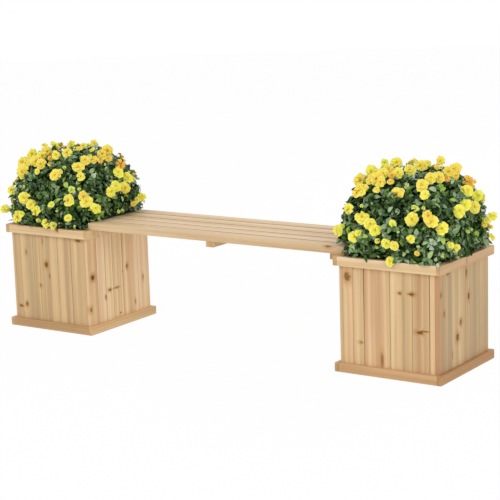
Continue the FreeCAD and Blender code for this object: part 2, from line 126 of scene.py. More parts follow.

# Colours as on a screen, 0 to 255. Woods have straw and pinkish shades, the lightest first, that
# belong to the places in SHADE_STOPS, and a colour, strength and roughness for late wood.
# The palest stop is there for the low tones that paint light onto the left planter's right side
SHADE_STOPS = (0.0, 0.2, 0.6, 1.0)
WOOD_LOOKS = {
    "planter_wood": {
        "straw": ((246, 226, 184), (236, 207, 157), (212, 181, 134), (185, 158, 120)),
        "pink": ((248, 220, 184), (237, 200, 156), (214, 174, 131), (188, 142, 99)),
        "late": (158, 116, 74), "rings": 0.16, "roughness": 0.58,
    },
    "seat_wood": {
        "straw": ((252, 226, 186), (242, 213, 169), (222, 195, 152), (200, 166, 118)),
        "pink": ((252, 224, 192), (242, 212, 176), (222, 190, 153), (202, 162, 120)),
        "late": (172, 130, 84), "rings": 0.42, "roughness": 0.52,
    },
    "inner_wood": {
        "straw": ((206, 180, 134), (206, 180, 134), (188, 154, 108), (160, 124, 82)),
        "pink": ((208, 174, 134), (208, 174, 134), (190, 148, 108), (164, 120, 82)),
        "late": (140, 100, 62), "rings": 0.3, "roughness": 0.75,
    },
}
KNOT_HALO_COLOUR = (188, 133, 68)
KNOT_HEART = {0.0: (102, 68, 24), 0.45: (142, 96, 38), 0.8: (90, 61, 22), 1.0: (142, 99, 46)}
END_COLOUR = (178, 128, 67)
SEAM_COLOUR = (140, 98, 60)
# Painted shade on the sides of seat slats that face the gaps
GAP_SHADE_COLOUR = (150, 110, 76)
# Greens of leaves by tone: the pale grey greens towards 0.88 are painted highlights, glints of the
# white surroundings, and the last is lime for young leaves
LEAF_GREENS = {
    0.0: (22, 50, 10), 0.25: (48, 88, 24), 0.5: (98, 138, 62), 0.7: (156, 184, 134),
    0.88: (206, 224, 190), 1.0: (176, 210, 70),
}
PETAL_EDGES = {
    0.0: (216, 232, 110), 0.3: (255, 247, 84), 0.42: (255, 240, 92), 0.6: (255, 222, 82),
    0.75: (252, 194, 64), 1.0: (238, 146, 46),
}
PETAL_HEARTS = {0.0: (196, 212, 80), 0.3: (248, 220, 56), 0.6: (244, 192, 52), 1.0: (206, 104, 30)}

# Where a colour mix node has its share and two colours, and where its result
MIX_INPUTS = (0, 6, 7)
MIX_OUTPUT = 2

# Boards that show, from left to right or front to back: how deep a tan, about 0 to 1, and how
# pinkish against straw yellow at the left and at the right edge. On the right sides and the seat
# some tones also paint light and shade, as noted below
BOARD_LOOKS = {
    "left_planter_front_boards": (
        (0.60, 0.50, 0.10), (0.50, 0.10, 0.30), (0.48, 0.30, 0.15), (0.54, 0.10, 0.40),
    ),
    # Pale tones: painted light on the left planter's right side, which lies in shade under the seat
    "left_planter_right_boards": (
        (0.10, 0.80, 0.60), (-0.05, 0.70, 0.80), (-0.10, 0.50, 0.90), (0.02, 0.40, 0.50),
        (-0.20, 0.80, 0.60), (-0.12, 0.45, 0.80),
    ),
    "right_planter_front_boards": (
        (0.34, 0.15, 0.75), (0.30, 0.45, 0.30), (0.48, 0.95, 0.45), (0.32, 0.15, 0.25),
        (0.55, 0.50, 0.35), (0.34, 0.30, 0.60),
    ),
    # Deep tones: painted shade on the right planter's right side
    "right_planter_right_boards": (
        (0.84, 0.60, 0.05), (0.80, 0.0, 0.25), (0.66, 0.0, 0.0), (0.68, 0.0, 0.10),
    ),
    "seat_slat_1": ((0.36, 0.30, 0.50),),
    # Slats 2 to 5 show their tops and are paler than slat 1, which paints the seat's top lighter than
    # its front
    "seat_slat_2": ((0.14, 0.60, 0.75),),
    "seat_slat_3": ((0.30, 0.50, 0.35),),
    "seat_slat_4": ((0.20, 0.45, 0.75),),
    "seat_slat_5": ((0.28, 0.55, 0.50),),
    "left_planter_rim_trim_front": ((0.20, 0.25, 0.35),),
    "left_planter_rim_trim_right": ((0.30, 0.25, 0.45),),
    "right_planter_rim_trim_front": ((0.24, 0.30, 0.40),),
    "right_planter_rim_trim_right": ((0.34, 0.10, 0.80),),
    "left_planter_foot_trim_front": ((0.50, 0.55, 0.65),),
    "right_planter_foot_trim_front": ((0.42, 0.55, 0.65),),
    "left_planter_foot_trim_right": ((0.05, 0.50, 0.70),),
    # Partly this strip's browner wood and partly painted shade on the right planter's right side
    "right_planter_foot_trim_right": ((1.1, 0.70, 0.90),),
}

# Knots in the faces that show: millimetres along the wall or seat from its middle and up from
# the ground, half their width and height, and how dark they are
KNOTS = {
    "left_planter_front_boards": (
        (-31, 322, 3, 11, 0.5), (-112, 276, 4, 9, 0.4), (-18, 237, 7, 9, 1.0), (-5, 197, 3, 8, 0.6),
        (-50, 158, 4, 5, 0.6), (-149, 73, 9, 4, 0.8), (-121, 82, 5, 7, 0.8), (136, 337, 10, 4, 0.9),
    ),
    "left_planter_right_boards": (
        (-152, 203, 8, 9, 1.0), (-58, 140, 8, 4, 0.8), (-20, 141, 14, 3, 0.6), (45, 208, 5, 8, 0.7),
        (18, 194, 2, 3, 0.5), (137, 149, 4, 11, 0.5), (-83, 118, 4, 7, 0.6), (-3, 44, 3, 2, 0.8),
        (86, 68, 3, 8, 0.5), (-168, 89, 5, 8, 0.7),
    ),
    "right_planter_front_boards": (
        (-146, 311, 10, 13, 0.8), (41, 276, 5, 4, 0.7), (82, 277, 9, 4, 0.9), (61, 276, 12, 1.2, 0.3),
        (111, 158, 10, 5, 0.9), (128, 164, 12, 2, 0.8), (-98, 103, 7, 4, 0.5), (-24, 55, 5, 20, 0.6),
    ),
    "right_planter_right_boards": (
        (16, 317, 7, 12, 0.7), (-111, 339, 11, 4, 0.8), (32, 238, 6, 10, 0.9), (-159, 279, 6, 9, 0.5),
        (-138, 216, 5, 9, 0.6), (-24, 166, 7, 9, 0.8), (-47, 122, 8, 11, 1.0), (-83, 74, 3, 14, 0.5),
    ),
    "left_planter_rim_trim_front": ((54, 371, 5, 5, 0.9),),
    "right_planter_rim_trim_right": ((-10, 361, 3, 13, 0.4),),
    "seat_slat_1": ((464, 400, 10, 5, 0.9),),
}
PLAIN_FACES = ("trim", "seat_slat")

# Boards that don't show: most knots on a short and a long one, the share of them that is there,
# their places as shares of the board, their half widths in metres and at most as a share of the
# board's width, how much longer than wide they are, and tone and warmth of the boards
SHORT_BOARD_KNOTS = 2
LONG_BOARD_KNOTS = 4
LONG_BOARD = 0.6
HIDDEN_KNOT_SHARE = 0.45
HIDDEN_KNOT_PLACE = (-0.45, 0.45)
HIDDEN_KNOT_WIDTH = (0.003, 0.008)
WIDEST_HIDDEN_KNOT = 0.2
HIDDEN_KNOT_STRETCH = (0.8, 1.9)
HIDDEN_KNOT_DARK = (0.4, 1.0)
HIDDEN_TONE = (0.5, 0.1)
HIDDEN_TONE_RANGE = (0.2, 0.8)
HIDDEN_WARMTH = (0.1, 0.8)

# Seams that stand open at the top or foot: the board to their right, and how far at each end
OPEN_SEAMS = {
    "left_planter_right_boards": {3: (0.0012, 0.0002), 5: (0.0001, 0.0014)},
    "right_planter_front_boards": {2: (0.0003, 0.0018), 5: (0.0006, 0.0011)},
    "right_planter_right_boards": {3: (0.0013, 0.0001)},
}

# Leaves: how many, their length and width, how deep they start in the dome, how uneven the dome
# and the shade inside it are, then leaves on shoots, round the foot of the dome and over the rim
LEAF_COUNT = 7600
LEAF_LENGTH = (0.012, 0.027)
LEAF_WIDTH = (0.75, 1.2)
LEAF_DEPTH = 0.050
LEAF_DEPTH_POWER = 1.3
LEAF_INSET = 0.009
LEAF_OVERLAP = 0.004
LEAF_LUMPS = 0.016
LUMP_FREQUENCY = 15.0
LEAF_CORE_SHARE = 0.84
CORE_LUMPS = 0.12
CORE_LUMP_FREQUENCY = 30.0
CORE_HEART = 0.02
VEINS = 6.0
VEIN_SLANT = 0.22
SPRIG_COUNT = 150
SPRIG_LEAVES = 7
SPRIG_REACH = (0.002, 0.016)
SPRIG_LENGTH = 0.022
COLLAR_COUNT = 420
COLLAR_DEPTH = 0.030
COLLAR_HEIGHT = (0.004, 0.022)
HANGING_LEAVES = 5
HANGING_SHARE = 0.6
HANGING_CLEARANCE = 0.006
HANGING_SPREAD = (0.008, 0.002, 0.006)

# The tone of leaves, as the two numbers of a beta draw, how much darker it is deep in the dome,
# which is painted shade, and the share of light young leaves on the dome and on its shoots
OUTER_TONE = (1.2, 1.8)
SPRIG_TONE = (2.2, 2.0)
COLLAR_TONE = (1.5, 2.2)
HANGING_TONE = (1.8, 1.8)
DEEP_SHADE = 0.75
YOUNG_SHARE = 0.035
YOUNG_TIP_SHARE = 0.08

# How the leaves fill each dome: their share of its width, depth and height, and a shift, which
# start at the rim and are full at a little height above it
DOME_SHARE = {"left": (0.98, 1.0, 0.98), "right": (1.0, 1.0, 0.985)}
DOME_SHIFT = {"left": (-0.006, 0.0, 0.0), "right": (0.0, 0.0, 0.0)}
RIM_BLEND = 0.03

# How near the seat no leaf grows, beside its slats and under them, how near the rim, and how far
# all of them stay from wood
SEAT_ROOM = 0.012
SEAT_CEILING = 0.03
RIM_ROOM = 0.004
WOOD_ROOM = 0.0015

# Flowers: how far they stand out of the leaves and reach beside them, how much they face outward,
# to the eye and at random, their size and depth, and how many shapes there are of each kind
FLOWER_PROUD = 0.006
FLOWER_REACH = 0.024
FLOWER_OUTWARD = 0.45
FLOWER_TO_EYE = 0.75
FLOWER_TILT = 0.25
FLOWER_SCALE = 1.2
FLOWER_DEPTH = 0.006
FLOWER_KINDS = 5
PETAL_RAYS = 34.0

# Heights above the rim: the middle of a dome, which its flowers face away from, and its heart,
# towards which places beside the leaves are drawn in by a share at a time
DOME_MIDDLE = 0.07
DOME_HEART = 0.10
DRAW_IN = 0.98

# Flowers on the far side, and how often and how near a second one stands beside one of them
TURNED_AWAY = 0.05
HIDDEN_FLOWER_RADIUS = (0.014, 0.021)
HIDDEN_COLOUR = (0, 0.8)
PAIR_SHARE = 0.5
PAIR_DISTANCE = 0.024
PAIR_RISE = 0.004
PAIR_SIZE = 0.85

# How far the flowers stay from wood, and the stalks: how long, which height above the rim they
# run towards, how far back they start to turn, how much they bow and how thick they are
RIM_CLEARANCE = 0.012
SHOWN_CLEARANCE = 0.004
HIDDEN_CLEARANCE = 0.012
STALK_LENGTH = 0.07
STALK_AIM = 0.05
STALK_BACK = 0.008
STALK_BOW = 0.08
STALK_RADIUS = 0.0012

# Petal layers of each kind of bloom: how many, reach, half spread in degrees, cup and lift
FLOWER_LAYERS = {
    "full": ((5, 1.0, 46, 0.30, 0.0), (5, 0.66, 42, 0.36, 0.10)),
    "bud": ((5, 0.9, 36, 0.75, 0.0), (3, 0.6, 40, 0.6, 0.1)),
    "star": ((6, 1.2, 26, 0.25, 0.0), (5, 0.85, 22, 0.45, 0.08)),
}

# One of the photograph's pixels at the plantings, in metres
PIXEL = 0.003184

# The left planting is the same picture at another scale and place: scale and shift across and up
BLOOM_FIT = {"left": (1.033, -9.9, 1.104, -11.8), "right": (1.0, 0.0, 1.0, 0.0)}

# Blooms that show, in pixels of the right planting: across and up from the middle of the rim,
# width, and colour from -1 for lime over 0 for lemon to 2 for orange. The deepest oranges, above 1,
# on small blooms set back among the others, are partly painted shade
BLOOMS = (
    (-53, 59, 15, 0.6), (-52, 69, 14, 0.5), (-42, 77, 12, 0.1), (-42, 70, 11, 0.6),
    (-37, 70, 13, 0.7), (-33, 67, 11, 0.6), (-31, 75, 11, 0.4), (-29, 86, 8, -0.3),
    (-26, 79, 12, 0.7), (-37, 60, 6, 0.3), (-17, 86, 11, 0.1), (-16, 76, 10, 0.3),
    (-23, 68, 6, 0.9), (-22, 73, 6, 1.3), (-4, 79, 11, 0.4), (0, 88, 9, 0.2), (7, 83, 11, 0.4),
    (14, 86, 8, 0.3), (26, 88, 9, 0.5), (23, 82, 6, 0.4), (34, 77, 11, 0.7), (40, 80, 13, 0.6),
    (32, 71, 7, 1.4), (41, 73, 8, 0.9), (16, 71, 11, 0.5), (24, 72, 11, 0.6), (8, 64, 12, 0.5),
    (11, 55, 9, 0.2), (-17, 56, 12, 0.6), (-12, 59, 6, 0.3), (52, 59, 12, 0.0), (62, 54, 11, -0.1),
    (68, 52, 6, 0.0), (49, 45, 12, -0.1), (59, 43, 12, 0.4), (44, 39, 12, 0.0), (-64, 41, 11, 0.2),
    (-51, 33, 13, 0.3), (-43, 26, 11, 0.3), (-38, 20, 11, 0.0), (-58, 14, 12, 0.2),
    (-54, 17, 7, 0.0), (-75, 20, 10, 0.1), (-71, 24, 5, -0.3), (-2, 31, 12, 0.4),
    (14, 34, 11, 0.8), (17, 29, 13, 0.4), (27, 22, 11, 0.1), (-21, 26, 7, -0.3),
    (-3, 12, 8, -0.1), (-27, 7, 9, 0.1), (-19, 5, 8, 0.4), (-36, 10, 5, 0.3), (77, 34, 9, -0.1),
    (72, 31, 7, 0.1), (69, 27, 6, 0.8), (3, -3, 5, 1.0),
)
RIGHT_BLOOMS = ((35, 5, 7, 0.1), (41, 3, 8, 0.2), (77, 14, 7, 0.2))
HANGING_BLOOM = (-24, -11, 9, 0.1)

# Buds and one star-shaped bloom, with their places and widths in the same pixels, and the places
# of leaves that hang over the front rim strip
BUDS = (
    (1, 41, 8), (9, 42, 4), (-7, 64, 4), (-51, 44, 4), (-15, 19, 3), (52, 19, 4), (56, 21, 3),
    (28, -5, 4), (4, 4, 3), (37, 67, 3),
)
STAR_BLOOM = (54, 67, 11)
BUD_COLOUR = -1.0
STAR_COLOUR = 1.2
HANGING_SPOTS = {"left": ((-28, 6),), "right": ((10, -13), (23, -12), (-17, -9))}

UP = np.array([0.0, 0.0, 1.0])
SEED = 11
luck = np.random.RandomState(SEED)


@functools.cache
def box(node):
    """The corners of a CAD node's box."""
    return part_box(node)


def linear(red, green, blue):
    """A colour written as on a screen, 0 to 255, in the linear values that shaders take."""
    shares = [value / 255 for value in (red, green, blue)]
    channels = [
        share / 12.92 if share <= 0.04045 else ((share + 0.055) / 1.055) ** 2.4
        for share in shares
    ]
    return (*channels, 1.0)


class Value:
    """One output of a node, to be reckoned with like a number."""

    def __init__(self, nodes, socket):
        self.nodes = nodes
        self.socket = socket

    def __add__(self, other):
        return self.nodes.math("ADD", self, other)

    def __sub__(self, other):
        return self.nodes.math("SUBTRACT", self, other)

    def __rsub__(self, other):
        return self.nodes.math("SUBTRACT", other, self)

    def __mul__(self, other):
        return self.nodes.math("MULTIPLY", self, other)

    def __truediv__(self, other):
        return self.nodes.math("DIVIDE", self, other)


class Nodes:
    """A short way to write the nodes of a material or of the sky."""

    def __init__(self, owner):
        self.owner = owner
        owner.use_nodes = True
        self.tree = owner.node_tree
        self.tree.nodes.clear()

    def new(self, kind, values, **settings):
        """A node with its settings, and its inputs linked or set."""
        node = self.tree.nodes.new(kind)
        for key, value in settings.items():
            setattr(node, key, value)
        for key, value in values.items():
            if isinstance(value, Value):
                self.tree.links.new(value.socket, node.inputs[key])
            else:
                node.inputs[key].default_value = value
        return node

    def add(self, kind, output, values, **settings):
        """One output of a new node."""
        return Value(self, self.new(kind, values, **settings).outputs[output])

    def attribute(self, name):
        """A stored attribute as a vector."""
        return self.add("ShaderNodeAttribute", "Vector", {}, attribute_name=name)

    def stored(self, name):
        """The three parts of a stored attribute."""
        return self.parts(self.attribute(name))

    def position(self):
        """The place of the point that is shaded."""
        return self.add("ShaderNodeNewGeometry", "Position", {})

    def math(self, operation, *values):
        """The result of one sum."""
        return self.add("ShaderNodeMath", 0, dict(enumerate(values)), operation=operation)

    def over(self, operation, values):
        """The result of the same sum over several values in turn."""
        return functools.reduce(lambda first, second: self.math(operation, first, second), values)

    def vector(self, operation, *values):
        """The result of one vector sum."""
        return self.add("ShaderNodeVectorMath", 0, dict(enumerate(values)), operation=operation)

    def parts(self, vector):
        """The three parts of a vector."""
        outputs = self.new("ShaderNodeSeparateXYZ", {0: vector}).outputs
        return [Value(self, socket) for socket in outputs]

    def noise(self, place, scale, detail=2.0, roughness=0.5):
        """Noise from 0 to 1, stretched by a scale for each axis."""
        stretched = self.vector("MULTIPLY", place, scale)
        values = {"Vector": stretched, "Scale": 1.0, "Detail": detail, "Roughness": roughness}
        return self.add("ShaderNodeTexNoise", "Fac", values)

    def swing(self, place, scale, detail=2.0, roughness=0.5):
        """Noise from -0.5 to 0.5."""
        return self.noise(place, scale, detail, roughness) - 0.5

    def fade(self, value, start, end):
        """0 at start and before, 1 at end and beyond, and smooth between."""
        values = {"Value": value, "From Min": start, "From Max": end}
        return self.add("ShaderNodeMapRange", "Result", values, interpolation_type="SMOOTHSTEP")

    def ramp(self, value, stops):
        """A colour that changes with a value through stops, each a place and its colour."""
        node = self.new("ShaderNodeValToRGB", {"Fac": value})
        elements = node.color_ramp.elements
        places = sorted(stops)
        elements[0].position, elements[1].position = places[0], places[-1]
        for place in places[1:-1]:
            elements.new(place)
        for element, place in zip(elements, places):
            element.color = linear(*stops[place])
        return Value(self, node.outputs["Color"])

    def mix(self, share, first, second):
        """A colour with a share of a second one."""
        colours = [
            colour if isinstance(colour, Value) else linear(*colour) for colour in (first, second)
        ]
        values = dict(zip(MIX_INPUTS, (share, *colours)))
        return self.add("ShaderNodeMix", MIX_OUTPUT, values, data_type="RGBA")

    def bump(self, height, strength, distance):
        """A surface normal from a height."""
        values = {"Height": height, "Strength": strength, "Distance": distance}
        return self.add("ShaderNodeBump", "Normal", values)

    def finish(self, shader, output="ShaderNodeOutputMaterial"):
        """Joins the shader to the output and gives the material or the sky."""
        self.new(output, {"Surface": shader})
        return self.owner

    def surface(self, values):
        """A material with one general surface shader."""
        return self.finish(self.add("ShaderNodeBsdfPrincipled", 0, values))


def new_look(name):
    """The nodes of a new material."""
    return Nodes(bpy.data.materials.new(name))


def knot_field(nodes, place, wobble, index):
    """Distance from a knot in its own half sizes, how far it pushes the rings, its darkness."""
    across, along, _ = nodes.parts(place)
    knot_across, knot_along, dark = nodes.stored(f"knot_place_{index}")
    half_across, half_along, half_deep = nodes.stored(f"knot_size_{index}")
    _, depth, _ = nodes.stored("grain_gap_shade_and_depth")
    side = (across - knot_across) / half_across
    up = (along - knot_along) / half_along
    deep = depth / half_deep
    square = side * side + up * up + deep * deep
    fall = nodes.math("EXPONENT", square * -KNOT_PUSH_FALL)
    present = nodes.math("GREATER_THAN", dark, FAINTEST_KNOT)
    distance = nodes.math("SQRT", square) + wobble * KNOT_WOBBLE
    return distance, fall * present * half_across, dark


def knots(nodes, place, lookup):
    """Over all the knots of a board: core, halo, distance and push on the growth rings."""
    wobble = nodes.swing(lookup, GRAIN_NOISE["knots"], 3.0)
    fields = [knot_field(nodes, place, wobble, index) for index in range(KNOTS_PER_BOARD)]
    cores = [nodes.fade(distance, *KNOT_CORE) * dark for distance, _, dark in fields]
    halos = [nodes.fade(distance, *KNOT_HALO) * dark for distance, _, dark in fields]
    nearest = nodes.over("MINIMUM", [distance for distance, _, _ in fields])
    push = nodes.over("ADD", [push for _, push, _ in fields])
    return nodes.over("MAXIMUM", cores), nodes.over("MAXIMUM", halos), nearest, push


def growth_rings(nodes, place, lookup, push):
    """Late wood, 0 to 1, of rings round a pith that lies behind the face and is pushed by knots."""
    pith_across, pith_through, _ = nodes.stored("grain_pith")
    across, _, through = nodes.parts(place)
    wander = nodes.swing(lookup, GRAIN_NOISE["wander"])
    waver = nodes.swing(lookup, GRAIN_NOISE["waver"])
    crowding = nodes.noise(lookup, GRAIN_NOISE["crowding"])
    side = across - pith_across + wander * RING_WANDER
    depth = through - pith_through
    radius = nodes.math("SQRT", side * side + depth * depth) + push + waver * RING_WAVER
    phase = nodes.math("FRACT", radius * RINGS_PER_METRE + crowding * RING_CROWDING)
    rise = nodes.fade(phase, *RING_RISE)
    fall = nodes.fade(phase, *RING_FALL)
    strength = nodes.fade(nodes.noise(lookup, GRAIN_NOISE["late"], 1.0), *RING_STRENGTH)
    return rise * fall * strength


def wood(name):
    """Softwood with broad stripes, growth rings, fibres and knots that run through each board."""
    colours = WOOD_LOOKS[name]
    nodes = new_look(name)
    place = nodes.attribute("grain_place")
    lookup = nodes.vector("ADD", place, nodes.attribute("grain_shift"))
    _, _, tone = nodes.stored("grain_pith")
    ends, seams, warmth = nodes.stored("grain_face")
    gap, _, _ = nodes.stored("grain_gap_shade_and_depth")
    core, halo, nearest, push = knots(nodes, place, lookup)
    late = growth_rings(nodes, place, lookup, push)

    sway = nodes.swing(lookup, GRAIN_NOISE["sway"]) * GRAIN_SWAY + push
    swayed = nodes.vector("ADD", lookup, nodes.add("ShaderNodeCombineXYZ", 0, {0: sway}))
    stripes = {
        "broad": nodes.swing(swayed, GRAIN_NOISE["broad"]),
        "narrow": nodes.swing(swayed, GRAIN_NOISE["narrow"]),
        "cloud": nodes.swing(lookup, GRAIN_NOISE["cloud"]),
        "fibre": nodes.swing(lookup, GRAIN_NOISE["fibre"], 3.0, 0.6),
    }
    blush = nodes.swing(swayed, GRAIN_NOISE["blush"])
    streak = nodes.fade(nodes.noise(swayed, GRAIN_NOISE["streak"], 3.0, 0.6), *STREAKS)

    shade = nodes.over("ADD", [tone] + [stripes[kind] * SHADE_SHARES[kind] for kind in stripes])
    shade = shade * SHADE_SPAN + SHADE_START
    warmth = nodes.fade(warmth + blush * BLUSH_SHARE, 0.0, 1.0)
    straw = nodes.ramp(shade, dict(zip(SHADE_STOPS, colours["straw"])))
    pink = nodes.ramp(shade, dict(zip(SHADE_STOPS, colours["pink"])))
    colour = nodes.mix(warmth, straw, pink)
    colour = nodes.mix(late * colours["rings"], colour, colours["late"])
    colour = nodes.mix(streak * STREAK_SHARE, colour, colours["late"])
    colour = nodes.mix(halo * HALO_SHARE, colour, KNOT_HALO_COLOUR)
    colour = nodes.mix(core, colour, nodes.ramp(nearest, KNOT_HEART))
    colour = nodes.mix(ends * END_SHARE, colour, END_COLOUR)
    colour = nodes.mix(seams * SEAM_SHARE, colour, SEAM_COLOUR)
    # Painted shade on the sides of the seat slats in the gaps between them
    colour = nodes.mix(gap * GAP_SHADE, colour, GAP_SHADE_COLOUR)
    relief = late * 0.5 + stripes["fibre"] - core * 0.6
    return nodes.surface(
        {
            "Base Color": colour,
            "Roughness": stripes["fibre"] * 0.3 + colours["roughness"],
            "Specular IOR Level": 0.3,
            "Normal": nodes.bump(relief, 0.25, 0.0006),
        }
    )


def leaf_material():
    """A small leaf: dark green to grey green, glossy, with a pale midrib and veins. Its palest grey
    greens are painted highlights.
    """
    nodes = new_look("leaf_green")
    side, along, tone = nodes.stored("leaf_place")
    colour = nodes.ramp(tone, LEAF_GREENS)
    off_middle = nodes.math("ABSOLUTE", side)
    rib = nodes.fade(off_middle, 0.16, 0.02)
    vein = nodes.math("FRACT", (along - off_middle * VEIN_SLANT) * VEINS)
    vein = nodes.fade(nodes.math("ABSOLUTE", vein - 0.5), 0.36, 0.5)
    lines = nodes.math("MAXIMUM", rib, vein * 0.5)
    colour = nodes.mix(lines * 0.3, colour, (170, 190, 130))
    mottle = nodes.noise(nodes.position(), (260, 260, 260), 3.0)
    colour = nodes.mix(mottle * 0.3, colour, (18, 34, 12))
    return nodes.surface(
        {
            "Base Color": colour,
            "Roughness": mottle * 0.2 + 0.2,
            "Specular IOR Level": 0.4,
            "Normal": nodes.bump(lines, -0.5, 0.0008),
        }
    )


def core_material():
    """The shade between the inner leaves."""
    nodes = new_look("inner_leaf_shade")
    patches = nodes.noise(nodes.position(), (90, 90, 90), 4.0, 0.65)
    colour = nodes.ramp(patches, {0.35: (10, 22, 5), 0.7: (34, 58, 18)})
    return nodes.surface(
        {"Base Color": colour, "Roughness": 0.9, "Normal": nodes.bump(patches, 1.0, 0.01)}
    )


def petal_material():
    """A soft petal that deepens at its heart: lime buds, lemon, golden or orange by its tone. Its
    pale edge is partly the petal's own colour and partly a painted highlight.
    """
    nodes = new_look("petal_yellow")
    side, along, tone = nodes.stored("petal_place")
    share = (tone + 1.0) * (1 / 3)
    outer = nodes.ramp(share, PETAL_EDGES)
    heart = nodes.ramp(share, PETAL_HEARTS)
    colour = nodes.mix(nodes.fade(along, 0.08, 0.5), heart, outer)
    rays = nodes.math("SINE", side * PETAL_RAYS)
    edge = nodes.fade(rays, 0.2, 1.0) * nodes.fade(along, 0.6, 0.15)
    colour = nodes.mix(edge * 0.3, colour, (204, 140, 30))
    # Pale petal edges: partly the petal's own paler edge and partly a painted highlight
    rim = nodes.fade(along, 0.8, 1.0)
    colour = nodes.mix(rim * 0.45, colour, (255, 250, 168))
    return nodes.surface(
        {
            "Base Color": colour,
            "Roughness": 0.6,
            "Subsurface Weight": 0.2,
            "Subsurface Scale": 0.004,
            "Specular IOR Level": 0.25,
            "Normal": nodes.bump(rays, 0.15, 0.0004),
        }
    )


def stalk_material():
    """A thin stalk in changing greens."""
    nodes = new_look("stalk_green")
    change = nodes.noise(nodes.position(), (40, 40, 40))
    colour = nodes.ramp(change, {0.3: (86, 118, 52), 0.75: (134, 158, 74)})
    return nodes.surface({"Base Color": colour, "Roughness": 0.5})


def steel_material():
    """Plain steel of a wood screw."""
    nodes = new_look("screw_steel")
    grain = nodes.noise(nodes.position(), (900, 900, 900), 3.0)
    return nodes.surface(
        {
            "Base Color": linear(190, 186, 178),
            "Metallic": 1.0,
            "Roughness": grain * 0.2 + 0.28,
            "Normal": nodes.bump(grain, 0.1, 0.0002),
        }
    )


def tub_material():
    """Dark moulded plastic with a fine grain and dusty patches."""
    nodes = new_look("tub_plastic")
    place = nodes.position()
    grain = nodes.noise(place, (1400, 1400, 1400))
    dust = nodes.fade(nodes.noise(place, (14, 14, 14), 4.0, 0.6), 0.45, 0.75)
    return nodes.surface(
        {
            "Base Color": nodes.mix(dust * 0.25, (34, 35, 34), (92, 84, 72)),
            "Roughness": dust * 0.3 + 0.42,
            "Normal": nodes.bump(grain, 0.2, 0.0002),
        }
    )


def soil_material():
    """Crumbly potting soil with pale flecks."""
    nodes = new_look("potting_soil")
    place = nodes.position()
    crumbs = nodes.noise(place, (170, 170, 170), 5.0, 0.7)
    flecks = nodes.fade(nodes.noise(place, (420, 420, 420), 1.0), 0.7, 0.74)
    colour = nodes.ramp(crumbs, {0.3: (34, 25, 18), 0.7: (84, 62, 44)})
    colour = nodes.mix(flecks * 0.8, colour, (196, 184, 164))
    return nodes.surface(
        {"Base Color": colour, "Roughness": 0.95, "Normal": nodes.bump(crumbs, 1.0, 0.006)}
    )


def new_object(name, points, faces, material, attributes, smooth=True):
    """A mesh object with vector attributes on its points."""
    mesh = bpy.data.meshes.new(name)
    mesh.from_pydata([tuple(point) for point in points], [], [tuple(face) for face in faces])
    for key, values in attributes.items():
        layer = mesh.attributes.new(key, "FLOAT_VECTOR", "POINT")
        layer.data.foreach_set("vector", np.asarray(values, dtype=np.float32).ravel())
    if smooth:
        mesh.shade_smooth()
    mesh.materials.append(material)
    thing = bpy.data.objects.new(name, mesh)
    bpy.context.scene.collection.objects.link(thing)
    return thing


def islands(node):
    """The points of each separate solid in a CAD node, whose surface closes after its last face."""
    mesh = frame["nodes"][node].data
    places = [tuple(round(value, 7) for value in vertex.co) for vertex in mesh.vertices]
    groups = []
    group = []
    open_edges = set()
    for face in mesh.polygons:
        corners = [places[index] for index in face.vertices]
        group.extend(corners)
        for start, end in zip(corners, corners[1:] + corners[:1]):
            open_edges ^= {(min(start, end), max(start, end))}
        if not open_edges:
            groups.append(np.array(group))
            group = []
    if group:
        groups.append(np.array(group))
    return groups


def rounded_block(low, high, radius):
    """Points and faces of a block with rounded edges."""
    shape = bmesh.new()
    bmesh.ops.create_cube(shape, size=1.0)
    for vertex in shape.verts:
        vertex.co = [high[axis] if vertex.co[axis] > 0 else low[axis] for axis in range(3)]
    bmesh.ops.bevel(
        shape, geom=shape.edges[:], offset=radius, segments=3, profile=0.5, affect="EDGES"
    )
    points = np.array([tuple(vertex.co) for vertex in shape.verts])
    shape.verts.index_update()
    faces = [[vertex.index for vertex in face.verts] for face in shape.faces]
    shape.free()
    return points, faces


def grain_axes(low, high):
    """The axes across, along and through a board: through is its thinnest, along its longest."""
    order = np.argsort(high - low, kind="stable")
    return [order[1], order[2], order[0]]


def known_knots(node, low, high, axes):
    """The listed knots that reach a board: place across and along it, darkness, half sizes."""
    wall = box(node)
    wall_axis = 1 if node.endswith(("right_boards", "trim_right")) else 0
    planter = node.split("_")[0]
    middle = planter_middle(planter)[wall_axis] if "planter" in node else 0.0
    centre = (low + high) / 2
    half_wall = (high - low)[wall_axis] / 2 + KNOT_OVERHANG
    found = []
    for along_wall, height, half_width, half_height, dark in KNOTS.get(node, ()):
        spot = np.array(low)
        spot[wall_axis] = middle + along_wall / 1000
        spot[2] = min(height / 1000, wall[1][2])
        if abs(spot[wall_axis] - centre[wall_axis]) < half_wall:
            half_size = np.full(3, half_height / 1000)
            half_size[wall_axis] = half_width / 1000
            across, along, _ = (spot - centre)[axes]
            found.append(((across, along, dark), half_size[axes]))
    return found


def chance_knots(size):
    """A few knots at random, on a board of that size across and along."""
    most = LONG_BOARD_KNOTS if size[1] > LONG_BOARD else SHORT_BOARD_KNOTS
    found = []
    for _ in range(luck.binomial(most, HIDDEN_KNOT_SHARE)):
        across = luck.uniform(*HIDDEN_KNOT_PLACE) * size[0]
        along = luck.uniform(*HIDDEN_KNOT_PLACE) * size[1]
        half_across = min(luck.uniform(*HIDDEN_KNOT_WIDTH), size[0] * WIDEST_HIDDEN_KNOT)
        half_along = half_across * luck.uniform(*HIDDEN_KNOT_STRETCH)
        place = (across, along, luck.uniform(*HIDDEN_KNOT_DARK))
        found.append((place, (half_across, half_along, 1)))
    return found


